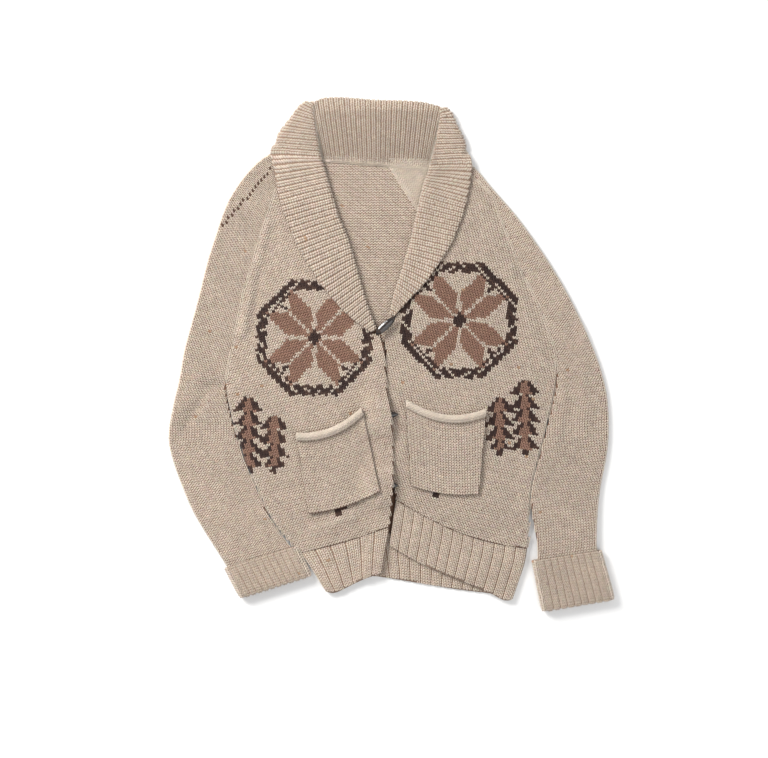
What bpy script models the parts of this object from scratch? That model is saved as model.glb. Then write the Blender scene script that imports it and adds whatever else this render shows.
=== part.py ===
"""A knitted toggle cardigan with raglan sleeves and a ribbed shawl collar, lying flat on its back.

Metres, +Z up. The garment lies on the plane z = 0, centred on the origin: +X is the
wearer's left, +Y runs up to the collar. Every cloth piece is a wall on a middle surface, which
is worked out from the outlines below. Plan tables are in millimetres; MM turns them into metres.
"""

import bmesh
import bpy
import numpy as np

# ---- Driving dimensions, in metres ----
MM = 0.001
WALL = 0.0035  # thickness of the thick wool knit
SEAM = 0.00015  # each piece stops this far short of a seam
TABLE = WALL / 2  # middle surface of cloth that lies on the table
TOP = 0.0072  # middle surface of the garment's upper layer
LAY = 0.0043  # from one middle surface to that of cloth lying on it
TOGGLE_LENGTH = 0.040
TOGGLE_WIDTH = 0.0125
TOGGLE_THICKNESS = 0.0065
COLLAR_RIB = 0.008  # pitch of the fine one-and-one rib
WELT_RIB = 0.0155  # pitch of the two-and-two rib along the hem
CUFF_RIB = 0.0122
RIB_RISE = 0.0009
TOGGLE_GAP = 0.0005  # over the cloth that it lies on
POCKET_ROLL = 0.0036  # middle radius of the curl along a pocket's top
LAP_WIDTH = 0.042  # the right front climbs onto the left one this far from its edge
LAP_SLOPE = 0.028
TOGGLE_BUMP = 0.0084  # how far it rises over a toggle below it
SECTIONS = 31  # sections down each panel and each sleeve, which meet along the raglan seams
UNDERARM = 0.58  # share of those sections above the underarm
MIDDLE_X = -0.0020  # middle of the garment's box on the axes of the outlines below
MIDDLE_Y = 0.0026
NECK_START = 0.35  # fronts and sleeves start this share of a section below the neck's corner
TOP_COLUMNS = 11  # along a sleeve's section, upper and lower layer
LOW_COLUMNS = 8
CLOSING = 0.0006  # a sleeve's two edges stop this far from half height along the underarm seam
CUFF_OVERLAP = 0.012  # the turned-back cuff hides this much of the sleeve's end
CUFF_INSET = LAY  # the cuff's inner layer lies this far inside its outer one
CUFF_PLACES = (0, 0.15, 0.28, 0.36, 0.417, 0.47, 0.56, 0.70, 0.85, 1)  # along a cuff's section
CUFF_INNER = (0, 2, 4, 6, 8, 9)  # those of them on its inner skin, which turns tightly at the wrist

# ---- Colours, linear ----
OATMEAL = (0.52, 0.43, 0.34, 1.0)
OATMEAL_SHADE = (0.45, 0.36, 0.28, 1.0)
HORN = (0.012, 0.010, 0.009, 1.0)

# ---- Plan outlines, in millimetres: columns x, y ----
# The wearer's right side is at -X. Each silhouette runs from the collar down.
RIGHT_SLEEVE_OUTER = (
    (-151, 298), (-170, 307), (-191, 299), (-215, 278), (-233, 255), (-247, 232), (-256, 210),
    (-264, 186), (-278, 142), (-289, 98), (-301, 52), (-313, 8), (-321, -38), (-331, -82),
    (-337, -124), (-332, -152), (-317, -195), (-298, -240), (-274, -285), (-253, -320))
RIGHT_SLEEVE_INNER = ((-251, -45), (-238, -105), (-218, -165), (-199, -210), (-176, -254), (-148, -287))
RIGHT_SIDE = RIGHT_SLEEVE_INNER + ((-140, -298),)
RIGHT_WELT_SIDE = ((-140, -298), (-119, -327), (-100, -355))
RIGHT_RAGLAN = (
    (-157, 274), (-175, 246), (-188, 207), (-200, 170), (-212, 130), (-223, 96), (-232, 52),
    (-242, 4), (-251, -45))
RIGHT_BACK_RAGLAN = ((-134, 294), (-158, 238), (-188, 158), (-221, 52), (-251, -45))
RIGHT_NECK = (
    (-157, 274), (-141, 242), (-127, 200), (-106, 155), (-81, 105), (-57, 65), (-31, 34))
RIGHT_FRONT_EDGE = (
    (-23, 31), (-14, 18), (-10, -22), (-7, -58), (-2, -90), (1, -128), (1, -186), (-2, -225),
    (-5, -258), (-11, -302), (-17, -327))
LEFT_SLEEVE_OUTER = (
    (106, 290), (116, 288), (128, 277), (146, 255), (185, 210), (218, 165), (247, 120), (272, 75),
    (293, 30), (311, -15), (322, -60), (325, -112), (322, -150), (313, -195), (307, -240),
    (306, -280), (310, -293))
LEFT_SLEEVE_INNER = (
    (247, -28), (241, -63), (230, -111), (218, -159), (209, -195), (206, -225), (209, -255),
    (212, -285), (211, -308))
LEFT_SIDE = ((247, -28), (241, -63), (230, -111), (218, -159), (208, -202), (205, -243), (203, -291))
LEFT_WELT_SIDE = ((203, -291), (200, -310), (191, -338), (181, -367))
LEFT_RAGLAN = (
    (100, 279), (124, 264), (148, 240), (164, 200), (179, 164), (194, 124), (214, 86), (233, 40),
    (244, 4), (247, -28))
LEFT_BACK_RAGLAN = ((-4, 284), (41, 214), (109, 130), (184, 45), (247, -28))
LEFT_NECK = ((100, 279), (84, 243), (75, 205), (60, 163), (37, 116), (19, 85), (3, 55))
LEFT_FRONT_EDGE = (
    (-5, 50), (-9, 30), (-11, -8), (-10, -68), (-8, -128), (-5, -172), (4, -208), (2, -248),
    (-5, -286))
RIGHT_WELT_TOP = ((-140, -298), (-72, -281), (-5, -258))
RIGHT_HEM = ((-100, -355), (-88, -357), (-61, -345), (-40, -335), (-17, -327))
LEFT_WELT_TOP = ((5, -218), (53, -245), (100, -267), (154, -283), (203, -291))
LEFT_HEM = ((-5, -286), (25, -304), (67, -324), (118, -345), (148, -358), (168, -368), (181, -367))
BACK_WELT_TOP = ((-140, -298), (-80, -280), (-22, -268), (71, -275), (203, -291))
BACK_HEM = ((-115, -333), (-71, -330), (-22, -333), (53, -345), (97, -352), (146, -358), (181, -362))

# Cuffs: the corners of each turned-back cuff, the sleeve's outer fold first
CUFFS = {
    "cuff_right": {"top": ((-253, -320), (-148, -287)), "end": ((-229, -366), (-121, -331))},
    "cuff_left": {"top": ((314, -292), (208, -308)), "end": ((335, -367), (223, -386))},
}
# Patch pockets: corners top left, top right, bottom right, bottom left, and the mouth's sag
POCKETS = {
    "pocket_right": {"corners": ((-144, -122), (-45, -84), (-19, -204), (-125, -238)), "sag": 12},
    "pocket_left": {"corners": ((20, -72), (140, -86), (129, -208), (28, -196)), "sag": 16},
}
# Toggles: x, y, degrees from +X, layers of cloth below
TOGGLES = {
    "toggle_top": (-10, 44, 42, 2.2),
    "toggle_middle": (-11, -90, 4, 1),
    "toggle_lower": (-11, -196, 2, 1),
}

# ---- The largest folds of the upper layer, in millimetres ----
# Columns: from x, y, to x, y, half width, rise (minus is a trough)
FOLDS = (
    (-250, -46, -304, -50, 8, -1.5),  # crease below the right sleeve's underarm
    (-276, -50, -312, -108, 8, -1.5),  # and the one that turns down from it
    (-292, -32, -326, -100, 13, 1.6),
    (-188, 196, -228, 30, 7, 1.5),  # ridge beside the right raglan seam
    (-202, 130, -212, 20, 9, -1.3),
    (-116, -150, -108, -215, 12, -1.0),
    (248, -28, 272, -44, 10, -1.4),  # crease below the left sleeve's underarm
    (286, 40, 284, -120, 12, 1.3),
    (258, -60, 246, -120, 10, 1.2),
    (268, -255, 290, -300, 9, -1.2),
    (222, -280, 238, -306, 8, -1.3),
    (176, 130, 226, -10, 10, 1.2),
    (190, -120, 178, -220, 12, -1.0),
    (-60, -240, -120, -262, 12, 1.1),
)

# ---- The shawl collar: one row for each section, from the right lapel's end round the neck ----
# Columns, in millimetres: seam x, y; roll line x, y; outermost place of the fall x, y; free edge
# x, y; then the layer each lies on: seam, stand beside the roll, fall beside the roll, outermost
# place above and below, and free edge. Layer 0 is the table, 1 the garment's top, 2 lies on it.
COLLAR = (
    (-29, 36, -25, 38, -28, 36, -32, 34, 1.0, 0.9, 2.1, 2.0, 2.0, 2.0),
    (-55, 66, -40, 78, -52, 68, -65, 58, 1.0, 0.8, 2.1, 2.0, 2.0, 2.0),
    (-79, 106, -53, 123, -75, 109, -98, 94, 1.0, 0.8, 2.2, 2.0, 2.0, 2.0),
    (-104, 156, -67, 171, -99, 158, -132, 144, 1.0, 0.8, 2.2, 2.0, 2.0, 2.0),
    (-123, 200, -83, 212, -118, 201, -154, 189, 1.0, 0.8, 2.2, 2.0, 2.0, 2.0),
    (-137, 242, -95, 252, -132, 243, -169, 233, 1.0, 0.8, 2.2, 2.0, 2.0, 2.0),
    (-123, 275, -104, 284, -140, 279, -177, 273, 0.9, 0.9, 2.2, 2.1, 2.1, 2.1),
    (-107, 294, -109, 300, -160, 304, -183, 304, 0.5, 1.0, 2.2, 2.1, 2.1, 2.0),
    (-106, 294, -112, 318, -173, 323, -173, 317, 0.1, 1.3, 2.2, 1.9, 0.6, 0.2),
    (-105, 293.6, -117, 346, -154, 354, -138, 328, 0.0, 1.5, 2.1, 1.7, 0.0, 0.0),
    (-103, 293.4, -119, 374, -129, 380, -113, 322, 0.0, 1.6, 1.9, 1.5, 0.0, 0.0),
    (-92, 292.4, -106, 384, -104, 370, -97, 318, 0.0, 1.5, 0.0, 0.0, 0.0, 0.0),
    (-22, 287, -22, 382, -22, 360, -22, 314, 0.0, 1.5, 0.0, 0.0, 0.0, 0.0),
    (40, 282.2, 53, 377, 50, 355, 42, 310, 0.0, 1.5, 0.0, 0.0, 0.0, 0.0),
    (52, 281.3, 71, 369, 80, 370, 55, 312, 0.0, 1.6, 1.9, 1.5, 0.0, 0.0),
    (54, 281.2, 70, 342, 98, 341, 80, 320, 0.0, 1.5, 2.1, 1.7, 0.0, 0.0),
    (56, 281.2, 64, 311, 109, 313, 107, 307, 0.1, 1.3, 2.2, 1.9, 0.6, 0.2),
    (57, 282, 58, 287, 100, 289, 119, 289, 0.7, 1.0, 2.2, 2.1, 2.1, 2.0),
    (80, 245, 47, 252, 80, 243, 112, 234, 1.0, 0.8, 2.2, 2.0, 2.0, 2.0),
    (73, 206, 38, 214, 69, 206, 101, 198, 1.0, 0.8, 2.2, 2.0, 2.0, 2.0),
    (58, 164, 28, 171, 55, 165, 83, 158, 1.0, 0.8, 2.2, 2.0, 2.0, 2.0),
    (35, 117, 14, 123, 30, 115, 47, 106, 1.0, 0.8, 2.2, 2.0, 2.0, 2.0),
    (17, 87, 4, 92, 12, 85, 20, 78, 1.0, 0.8, 2.1, 2.0, 2.0, 2.0),
    (1, 58, -3, 60, 0, 59, 3, 58, 1.0, 0.9, 2.1, 2.0, 2.0, 2.0),
)


# ---- Curves ----
def plan(points):
    """A table of millimetres as an array of metres."""
    return np.array(points, float) * MM


def smooth_through(rows, fractions):
    """Rows of numbers joined by Catmull-Rom pieces, read at fractions of the first two columns' length."""
    rows = np.array(rows, float)
    if len(rows) == 2:
        rows = np.array([rows[0], rows.mean(0), rows[1]])
    ends = np.vstack([2 * rows[0] - rows[1], rows, 2 * rows[-1] - rows[-2]])
    step = np.linalg.norm(np.diff(ends[:, :2], axis=0), axis=1) ** 0.5 + 1e-9
    knot = np.concatenate([[0], np.cumsum(step)])
    t = np.concatenate([np.linspace(a, b, 12, endpoint=False) for a, b in zip(knot[1:-2], knot[2:-1])])
    t = np.append(t, knot[-2] - 1e-9)
    i = np.clip(np.searchsorted(knot, t, side="right") - 1, 1, len(rows) - 1)
    p = [ends[i + k] for k in (-1, 0, 1, 2)]
    k = [knot[i + k][:, None] for k in (-1, 0, 1, 2)]
    t = t[:, None]
    first = [((k[j + 1] - t) * p[j] + (t - k[j]) * p[j + 1]) / (k[j + 1] - k[j]) for j in range(3)]
    second = [((k[j + 2] - t) * first[j] + (t - k[j]) * first[j + 1]) / (k[j + 2] - k[j]) for j in range(2)]
    fine = ((k[2] - t) * second[0] + (t - k[1]) * second[1]) / (k[2] - k[1])
    return read_along(fine, fractions)


def read_along(points, fractions):
    """A polyline's rows at fractions of its length in plan."""
    along = np.concatenate([[0], np.cumsum(np.linalg.norm(np.diff(points[:, :2], axis=0), axis=1))])
    at = np.asarray(fractions) * along[-1]
    return np.stack([np.interp(at, along, column) for column in points.T], axis=1)


def joined(*curves):
    """Curves end to end, without the doubled points, each smooth and with its corners kept."""
    fine = [smooth_through(curve, np.linspace(0, 1, 60)) for curve in curves]
    keep = fine[0]
    for curve in fine[1:]:
        keep = np.vstack([keep, curve[1:] if np.linalg.norm(curve[0] - keep[-1]) < 1e-4 else curve])
    return keep


def beside(points, distance):
    """A plan curve moved sideways, towards +X where it runs down."""
    along = np.gradient(points, axis=0)
    side = np.stack([-along[:, 1], along[:, 0]], axis=1)
    side /= np.linalg.norm(side, axis=1)[:, None] + 1e-12
    return points + side * distance


def ease(x):
    """0 below 0, 1 above 1, and smooth between."""
    x = np.clip(x, 0, 1)
    return x * x * (3 - 2 * x)


# ---- Heights of the cloth that lies uppermost ----
def folds(x, y):
    """The ridges and troughs: each falls off as a bell with the distance from its line."""
    rise = np.zeros(np.broadcast(x, y).shape)
    for x1, y1, x2, y2, half_width, height in plan(FOLDS):
        run_x, run_y = x2 - x1, y2 - y1
        along = np.clip(((x - x1) * run_x + (y - y1) * run_y) / (run_x**2 + run_y**2), 0, 1)
        away = np.hypot(x - x1 - along * run_x, y - y1 - along * run_y)
        rise += height * np.exp(-((away / half_width) ** 2))
    return rise


def top_height(x, y):
    """Middle surface of the sleeves' upper layer and of the left front."""
    return TOP + folds(x, y)


def right_front_height(x, y):
    """The right front laps over the left one's edge, and rises over the toggles that it hides."""
    edge = plan(RIGHT_FRONT_EDGE)
    from_edge = np.interp(-y, -edge[:, 1], edge[:, 0]) - x
    lap = LAY * ease((LAP_WIDTH - from_edge) / LAP_SLOPE) * ease((0.030 - y) / 0.035)
    bump = 0.0
    for name in ("toggle_middle", "toggle_lower"):
        peg_x, peg_y = plan(TOGGLES[name][:2])
        across, along = (x - peg_x + 0.003) / 0.031, (y - peg_y) / 0.030
        bump = bump + TOGGLE_BUMP * np.exp(-(across**4) - along**4)
    return top_height(x, y) + lap + bump


def layer_height(layer, x, y):
    """Layer 0 lies on the table, 1 is the garment's top layer, and each more lies LAY higher."""
    height = np.where(layer < 1, TABLE + (TOP - TABLE) * layer, TOP + LAY * (layer - 1))
    return height + folds(x, y) * np.clip(layer, 0, 1)


# ---- Meshes ----
def skin_normals(grid, around):
    """Unit normals of a grid of points, from the cross product of its two directions, on the side
    that looks up where the grid lies high."""
    if around:
        across = np.roll(grid, -1, axis=1) - np.roll(grid, 1, axis=1)
    else:
        across = np.gradient(grid, axis=1, edge_order=2)
    normal = np.cross(across, np.gradient(grid, axis=0))
    normal /= np.linalg.norm(normal, axis=2)[:, :, None] + 1e-15
    above = grid[:, :, 2] - grid[:, :, 2].min() + WALL
    return normal * np.sign((normal[:, :, 2] * above).sum())


def every(count, step):
    """0 to count - 1 by about that step, with the last one always in."""
    return sorted(set(range(0, count - 1, step)) | {count - 1})


def cloth(name, grid, material, relief=0.0, around=False, inner_rows=None, inner_columns=None, thickness=WALL):
    """A wall on a grid of middle points: a full outer skin with its relief, a coarser plain inner
    skin of the inner_rows and inner_columns, and a rim that joins the two."""
    rows, columns = grid.shape[:2]
    normal = skin_normals(grid, around)
    outer = grid + normal * (thickness / 2 + np.broadcast_to(relief, grid.shape[:2]))[:, :, None]
    inner = grid - normal * thickness / 2
    outer[:, :, 2] = np.maximum(outer[:, :, 2], 0)
    inner[:, :, 2] = np.maximum(inner[:, :, 2], 0)
    mesh = bmesh.new()
    out = [[mesh.verts.new(outer[r, c]) for c in range(columns)] for r in range(rows)]
    kept_rows = list(range(rows)) if inner_rows is None else list(inner_rows)
    kept_columns = list(range(columns)) if inner_columns is None else list(inner_columns)
    inside = {(r, c): mesh.verts.new(inner[r, c]) for r in kept_rows for c in kept_columns}
    wrap = [(c, (c + 1) % columns) for c in range(columns if around else columns - 1)]
    for r in range(rows - 1):
        for a, b in wrap:
            mesh.faces.new((out[r][a], out[r][b], out[r + 1][b], out[r + 1][a]))
    kept_pairs = list(zip(kept_columns, kept_columns[1:]))
    if around:
        kept_pairs.append((kept_columns[-1], kept_columns[0]))
    for r, below in zip(kept_rows, kept_rows[1:]):
        for a, b in kept_pairs:
            mesh.faces.new((inside[below, a], inside[below, b], inside[r, b], inside[r, a]))

    def rim(fine, first, last):
        middle = len(fine) // 2
        for i in range(len(fine) - 1):
            mesh.faces.new((fine[i], fine[i + 1], first if i < middle else last))
        mesh.faces.new((fine[middle], last, first))

    for r in (0, rows - 1):
        for a, b in kept_pairs:
            stop = b if b > a else columns
            rim([out[r][c % columns] for c in range(a, stop + 1)], inside[r, a], inside[r, b])
    if not around:
        for c in (0, columns - 1):
            for a, b in zip(kept_rows, kept_rows[1:]):
                rim([out[r][c] for r in range(a, b + 1)], inside[a, c], inside[b, c])
    finish(name, mesh, material)


def finish(name, mesh, material):
    """The mesh as an object of the cardigan, its faces turned outwards and its place measured from
    the middle of the garment."""
    mesh.normal_update()
    bmesh.ops.recalc_face_normals(mesh, faces=mesh.faces)
    bmesh.ops.translate(mesh, verts=mesh.verts, vec=(-MIDDLE_X, -MIDDLE_Y, 0))
    data = bpy.data.meshes.new(name)
    mesh.to_mesh(data)
    mesh.free()
    data.shade_smooth()
    data.materials.append(material)
    collection.objects.link(bpy.data.objects.new(name, data))


# ---- Panels ----
def seam_then_fold(seam, fold, side):
    """A panel's side at each section: the raglan seam down to the underarm, then the folded side.
    side is 1 where the cloth lies towards +X of the line. The seam stays SEAM short of its line; at
    the fold the wall's outer face keeps the silhouette."""
    down = np.linspace(0, 1, SECTIONS)
    above = down < UNDERARM
    upper = beside(read_along(joined(plan(seam)), down[above] / UNDERARM), side * SEAM)
    share = (down[~above] - UNDERARM) / (1 - UNDERARM)
    fold = read_along(joined(plan(fold)), share)
    inset = side * (WALL / 2 + 2 * SEAM)
    lower = beside(fold, side * SEAM)
    lower += (beside(fold, inset) - lower) * ease(share / 0.10)[:, None]
    return np.vstack([upper, lower])


def curled(distance, radius):
    """How far a folded edge sinks towards half height: a quarter circle over the last radius."""
    return radius * (1 - np.sqrt(np.clip(1 - np.clip(1 - distance / radius, 0, 1) ** 2, 0, 1)))


def curl_places(width, count, first, last):
    """Shares of a width for the columns of a panel, with two more close to each folded edge."""
    close = (TOP - TABLE) / 2 * np.array([0, 0.18, 0.6]) / width
    low = close if first else [0]
    high = 1 - close[::-1] if last else [1]
    return np.concatenate([low, np.linspace(low[-1], high[0], count)[1:-1], high])


def clear_of_folds(count, first, last):
    """A panel's columns for its inner skin: a curled edge keeps only its end and its start."""
    return [c for c in range(count) if not (first and c == 1) and not (last and c == count - 2)]


def courses(left, right, shares, folded, start=UNDERARM):
    """Straight courses between two sides. Returns the plan and how far each point curls."""
    points = left[:, None] + shares[None, :, None] * (right - left)[:, None]
    width = np.linalg.norm(right - left, axis=1)[:, None]
    radius = (TOP - TABLE) / 2 - 3 * SEAM
    amount = ease((np.linspace(0, 1, len(left)) - start - 0.03) / 0.06)[:, None]
    sink = np.zeros(points.shape[:2])
    if folded[0]:
        sink += curled(shares[None] * width, radius) * amount
    if folded[1]:
        sink += curled((1 - shares[None]) * width, radius) * amount
    return points, sink


def fitted(points, row, curve, reach):
    """The panel's first or last course moved onto a curve, the change fading over reach courses."""
    line = points[row]
    along = np.linalg.norm(line - line[0], axis=1)
    curve = curve.copy()
    curve[0], curve[-1] = line[0], line[-1]
    change = read_along(curve, along / along[-1]) - line
    rows = np.arange(len(points))
    away = rows if row == 0 else rows[::-1]
    return points + ease(1 - away / reach)[:, None, None] * change


def raised(points, height):
    """Plan points lifted to their heights."""
    return np.dstack([points, height])


def flat_height(x, y):
    """Middle surface of the cloth on the table."""
    return TABLE + 0 * (x + y)


def make_back(material):
    """The flat back: raglan seams, then folded sides, down to the welt's seam."""
    left = seam_then_fold(RIGHT_BACK_RAGLAN, RIGHT_SIDE, 1)
    right = seam_then_fold(LEFT_BACK_RAGLAN, LEFT_SIDE, -1)
    points, sink = courses(left, right, curl_places(0.45, 9, True, True), (True, True))
    points = fitted(points, -1, joined(plan(BACK_WELT_TOP)), 6)
    kept = clear_of_folds(points.shape[1], True, True)
    cloth("back_panel", raised(points, TABLE + sink), material, inner_columns=kept)
    return points[-1]


def make_front(name, hand, seams, neck, edge, welt, height, material):
    """hand is -1 for the wearer's right front, whose side is at its low end, and 1 for the left."""
    outer = seam_then_fold(*seams, -hand)
    neck_line = beside(joined(plan(neck)), hand * 2 * SEAM)
    edge_line = joined(plan(edge))
    corner = plan(welt[-1] if hand < 0 else welt[0])
    stop = np.argmin(np.linalg.norm(edge_line - corner, axis=1))
    inner = read_along(np.vstack([neck_line, edge_line[: stop + 1]]), np.linspace(0, 1, SECTIONS))
    for line in (outer, inner):
        line[0] += (line[1] - line[0]) * NECK_START
    shares = curl_places(0.2, 14, hand < 0, hand > 0)
    sides = (outer, inner) if hand < 0 else (inner, outer)
    points, sink = courses(*sides, shares, (hand < 0, hand > 0))
    points = fitted(points, -1, joined(plan(welt)), 6)
    z = height(points[..., 0], points[..., 1]) - sink
    kept = clear_of_folds(points.shape[1], hand < 0, hand > 0)
    cloth(name, raised(points, z), material, inner_columns=kept)
    return points[-1]


# ---- Welts ----
def rib_wave(along, pitch):
    """A rib's rise: one pitch is a raised pair of wales and a sunk pair, with short flanks."""
    phase = (along / pitch) % 1.0
    return RIB_RISE * ease((0.5 - np.abs(phase - 0.5)) * 5 - 0.75)


def rib_places(length, pitch):
    """Places along a ribbed band, four to a rib: the two flanks' feet and heads."""
    count = max(1, round(length / pitch))
    places = np.concatenate([(k + np.array([0.14, 0.36, 0.64, 0.86])) / count for k in range(count)])
    return places, length / count


def make_welt(name, join, hem, sides, folded, height, rise, material):
    """A two-and-two rib from the panel's last course to the hem. Folded sides curl as the panel's."""
    rows = 5
    down = np.linspace(0, 1, rows)
    join = join - [0, 2 * SEAM]
    hem = joined(plan(hem))
    length = np.linalg.norm(np.diff(hem, axis=0), axis=1).sum()
    places, pitch = rib_places(length, WELT_RIB)
    ends = curl_places(length, 2, *folded)
    clear = np.abs(places[:, None] - ends).min(axis=1) > 0.006
    places = np.sort(np.concatenate([ends, places[clear]]))
    edges = []
    for end, inwards, side in ((0, 1, sides[0]), (-1, -1, sides[1])):
        line = np.vstack([join[end], hem[end]]) if side is None else joined(plan(side))
        line = beside(line, inwards * (WALL / 2 + SEAM)) if folded[end] else line
        line = read_along(line, down)
        edges.append(line + (join[end] - line[0]) * (1 - ease(down / 0.4))[:, None])
    points, sink = courses(*edges, places, folded, start=-1)
    points = fitted(points, 0, join, rows - 1)
    points = fitted(points, -1, hem, rows - 1)
    points[0, sink[0] > 0] -= [0, 8 * SEAM]
    z = height(points[..., 0], points[..., 1]) + rise * sink
    wave = rib_wave(places * length, pitch)[None] * np.ones((rows, 1))
    wave[:, [0, -1]] = 0
    kept = every(len(places), 2)
    cloth(name, raised(points, z), material, relief=wave, inner_rows=every(rows, 2), inner_columns=kept)


# ---- Sleeves ----
def half_circle(steps):
    """Angles in radians from the top of a fold round to its underside, without its two ends."""
    return np.radians(np.linspace(90, -90, steps + 2)[1:-1])


def sleeve_section(outer, top_end, low_end, low, high, closed):
    """One straight section: in from the front seam over the upper layer, round the outer fold and
    back along the layer on the table. closed curls both ends to half height at the underarm."""
    radius, middle = (high - low) / 2, (high + low) / 2
    toward_top, toward_low = top_end - outer, low_end - outer
    top_width, low_width = np.linalg.norm(toward_top), np.linalg.norm(toward_low)
    toward_top, toward_low = toward_top / top_width, toward_low / low_width
    top_run, low_run = top_width - radius, low_width - radius
    top = radius + curl_places(top_run, TOP_COLUMNS, False, True)[::-1] * top_run
    under = radius + curl_places(low_run, LOW_COLUMNS, False, True) * low_run
    turn = half_circle(3)
    fold = outer + (radius - radius * np.cos(turn))[:, None] * (toward_top + toward_low) / 2
    points = np.vstack([outer + top[:, None] * toward_top, fold, outer + under[:, None] * toward_low])
    z = np.concatenate([
        high - closed * curled(top_width - top, radius - CLOSING),
        middle + radius * np.sin(turn),
        low + closed * curled(low_width - under, radius - CLOSING)])
    return points, z


def make_sleeve(name, hand, outer, inner, front_seam, back_seam, back_neck, cuff, material):
    """Straight sections between the outer fold and the inner side, which is the raglan seams above
    the underarm and the underarm seam, along a fold, below it. The last ones slip into the cuff."""
    down = np.linspace(0, 1, SECTIONS)
    outer_line = read_along(beside(joined(plan(outer)), -hand * (WALL / 2 + SEAM)), down)
    top_line = seam_then_fold(front_seam, inner, hand)
    low_line = seam_then_fold(back_seam, inner, hand)
    for line in (outer_line, top_line):
        line[0] += (line[1] - line[0]) * NECK_START
    corners = [
        top + (end - top) * (CUFF_OVERLAP - 2 * SEAM) / np.linalg.norm(end - top)
        for top, end in zip(plan(cuff["top"]), plan(cuff["end"]))]
    toward = (corners[1] - corners[0]) / np.linalg.norm(corners[1] - corners[0])
    narrow = (WALL / 2 + SEAM + CUFF_INSET + 0.002) * toward
    into = ease((down - 0.84) / 0.14)[:, None]
    outer_line = outer_line + into * (corners[0] + narrow - outer_line[-1])
    top_line = top_line + into * (corners[1] - narrow - top_line[-1])
    low_line = low_line + into * (corners[1] - narrow - low_line[-1])
    closed = ease((down - UNDERARM - 0.03) / 0.06)
    lift = ease((down - 0.84) / 0.13) * CUFF_INSET
    low, high = TABLE + lift, TOP + lift * 0.75
    sections = [
        sleeve_section(outer_line[r], top_line[r], low_line[r], low[r], high[r], closed[r])
        for r in range(SECTIONS)]
    points = np.array([section[0] for section in sections])
    heights = np.array([section[1] for section in sections])
    fold = TOP_COLUMNS + 2
    lower = fold + 3
    points[:, lower:] = fitted(points[:, lower:], 0, joined(plan(back_neck)), 4)
    upper = np.clip((heights - TABLE - lift[:, None]) / (TOP - TABLE), 0, 1)
    heights += folds(points[..., 0], points[..., 1]) * upper * (1 - lift / CUFF_INSET)[:, None]
    kept = [c for c in clear_of_folds(points.shape[1], True, True) if c not in (fold, fold + 2)]
    cloth(name, raised(points, heights), material, inner_columns=kept)


# ---- Cuffs ----
def flat_ring(width, low, high, top_places, bottom_places):
    """A flattened ring, round once: (distance from the outer edge, height) along its top, round one
    fold, back along the bottom and round the other fold."""
    radius, middle = (high - low) / 2, (high + low) / 2
    run = width - 2 * radius
    turn = half_circle(3)
    over = np.column_stack([radius + top_places * run, np.full(len(top_places), high)])
    inner = np.column_stack([width - radius + radius * np.cos(turn), middle + radius * np.sin(turn)])
    under = np.column_stack([width - radius - bottom_places * run, np.full(len(bottom_places), low)])
    outer = np.column_stack([radius - radius * np.cos(turn), middle - radius * np.sin(turn)])
    return np.vstack([over, inner, under, outer])


def b_spline(corners, shares):
    """Points of a quadratic B-spline on a control polygon, at shares of the way from its first
    corner to its last."""
    corners = np.array(corners, float)
    corners = np.vstack([2 * corners[0] - corners[1], corners, 2 * corners[-1] - corners[-2]])
    place = 0.5 + np.asarray(shares) * (len(corners) - 3)
    i = np.minimum(place.astype(int), len(corners) - 3)
    t = (place - i)[:, None]
    return 0.5 * (1 - t) ** 2 * corners[i] + (0.5 + t - t * t) * corners[i + 1] + 0.5 * t * t * corners[i + 2]


def make_cuff(name, cuff, material):
    """A ribbed band turned back on itself: its section starts inside at the sleeve's end, runs to
    the fold at the wrist and comes back up outside; the section is carried round a flattened ring."""
    (top_a, top_b), (end_a, end_b) = plan(cuff["top"]), plan(cuff["end"])
    length = np.linalg.norm(end_a - top_a)
    turn = WALL / 2
    section = b_spline((
        (CUFF_OVERLAP + 2 * SEAM, 0), (length * 0.5, 0), (length - turn, 0), (length - turn, 1),
        (length * 0.5, 1), (length * 0.2, 1), (0, 1)), CUFF_PLACES)
    total = TABLE + CUFF_INSET + WALL + 0.0012 + CUFF_INSET
    width = np.linalg.norm(top_b - top_a)
    places, pitch = rib_places(width, CUFF_RIB)
    places = np.concatenate([[0], places, [1]])
    bottom_places = np.linspace(0, 1, 9)
    grid, relief = [], []
    for along, outside in section:
        share = along / length
        a, b = top_a + share * (end_a - top_a), top_b + share * (end_b - top_b)
        toward = (b - a) / np.linalg.norm(b - a)
        edge = WALL / 2 + SEAM + (1 - outside) * CUFF_INSET
        a, b = a + toward * edge, b - toward * edge
        low = TABLE + (1 - outside) * CUFF_INSET
        high = total - (1 - outside) * CUFF_INSET
        ring = flat_ring(np.linalg.norm(b - a), low, high, places, bottom_places)
        points = a + ring[:, :1] * toward
        grid.append(np.column_stack([points, ring[:, 1]]))
        wave = np.zeros(len(ring))
        wave[: len(places)] = rib_wave(places * width, pitch)
        relief.append(wave * (0.3 + 0.7 * outside))
    grid, relief = np.array(grid), np.array(relief)
    kept = every(len(places), 3) + list(range(len(places), grid.shape[1]))
    cloth(name, grid, material, relief=relief, around=True, inner_rows=CUFF_INNER, inner_columns=kept)


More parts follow.
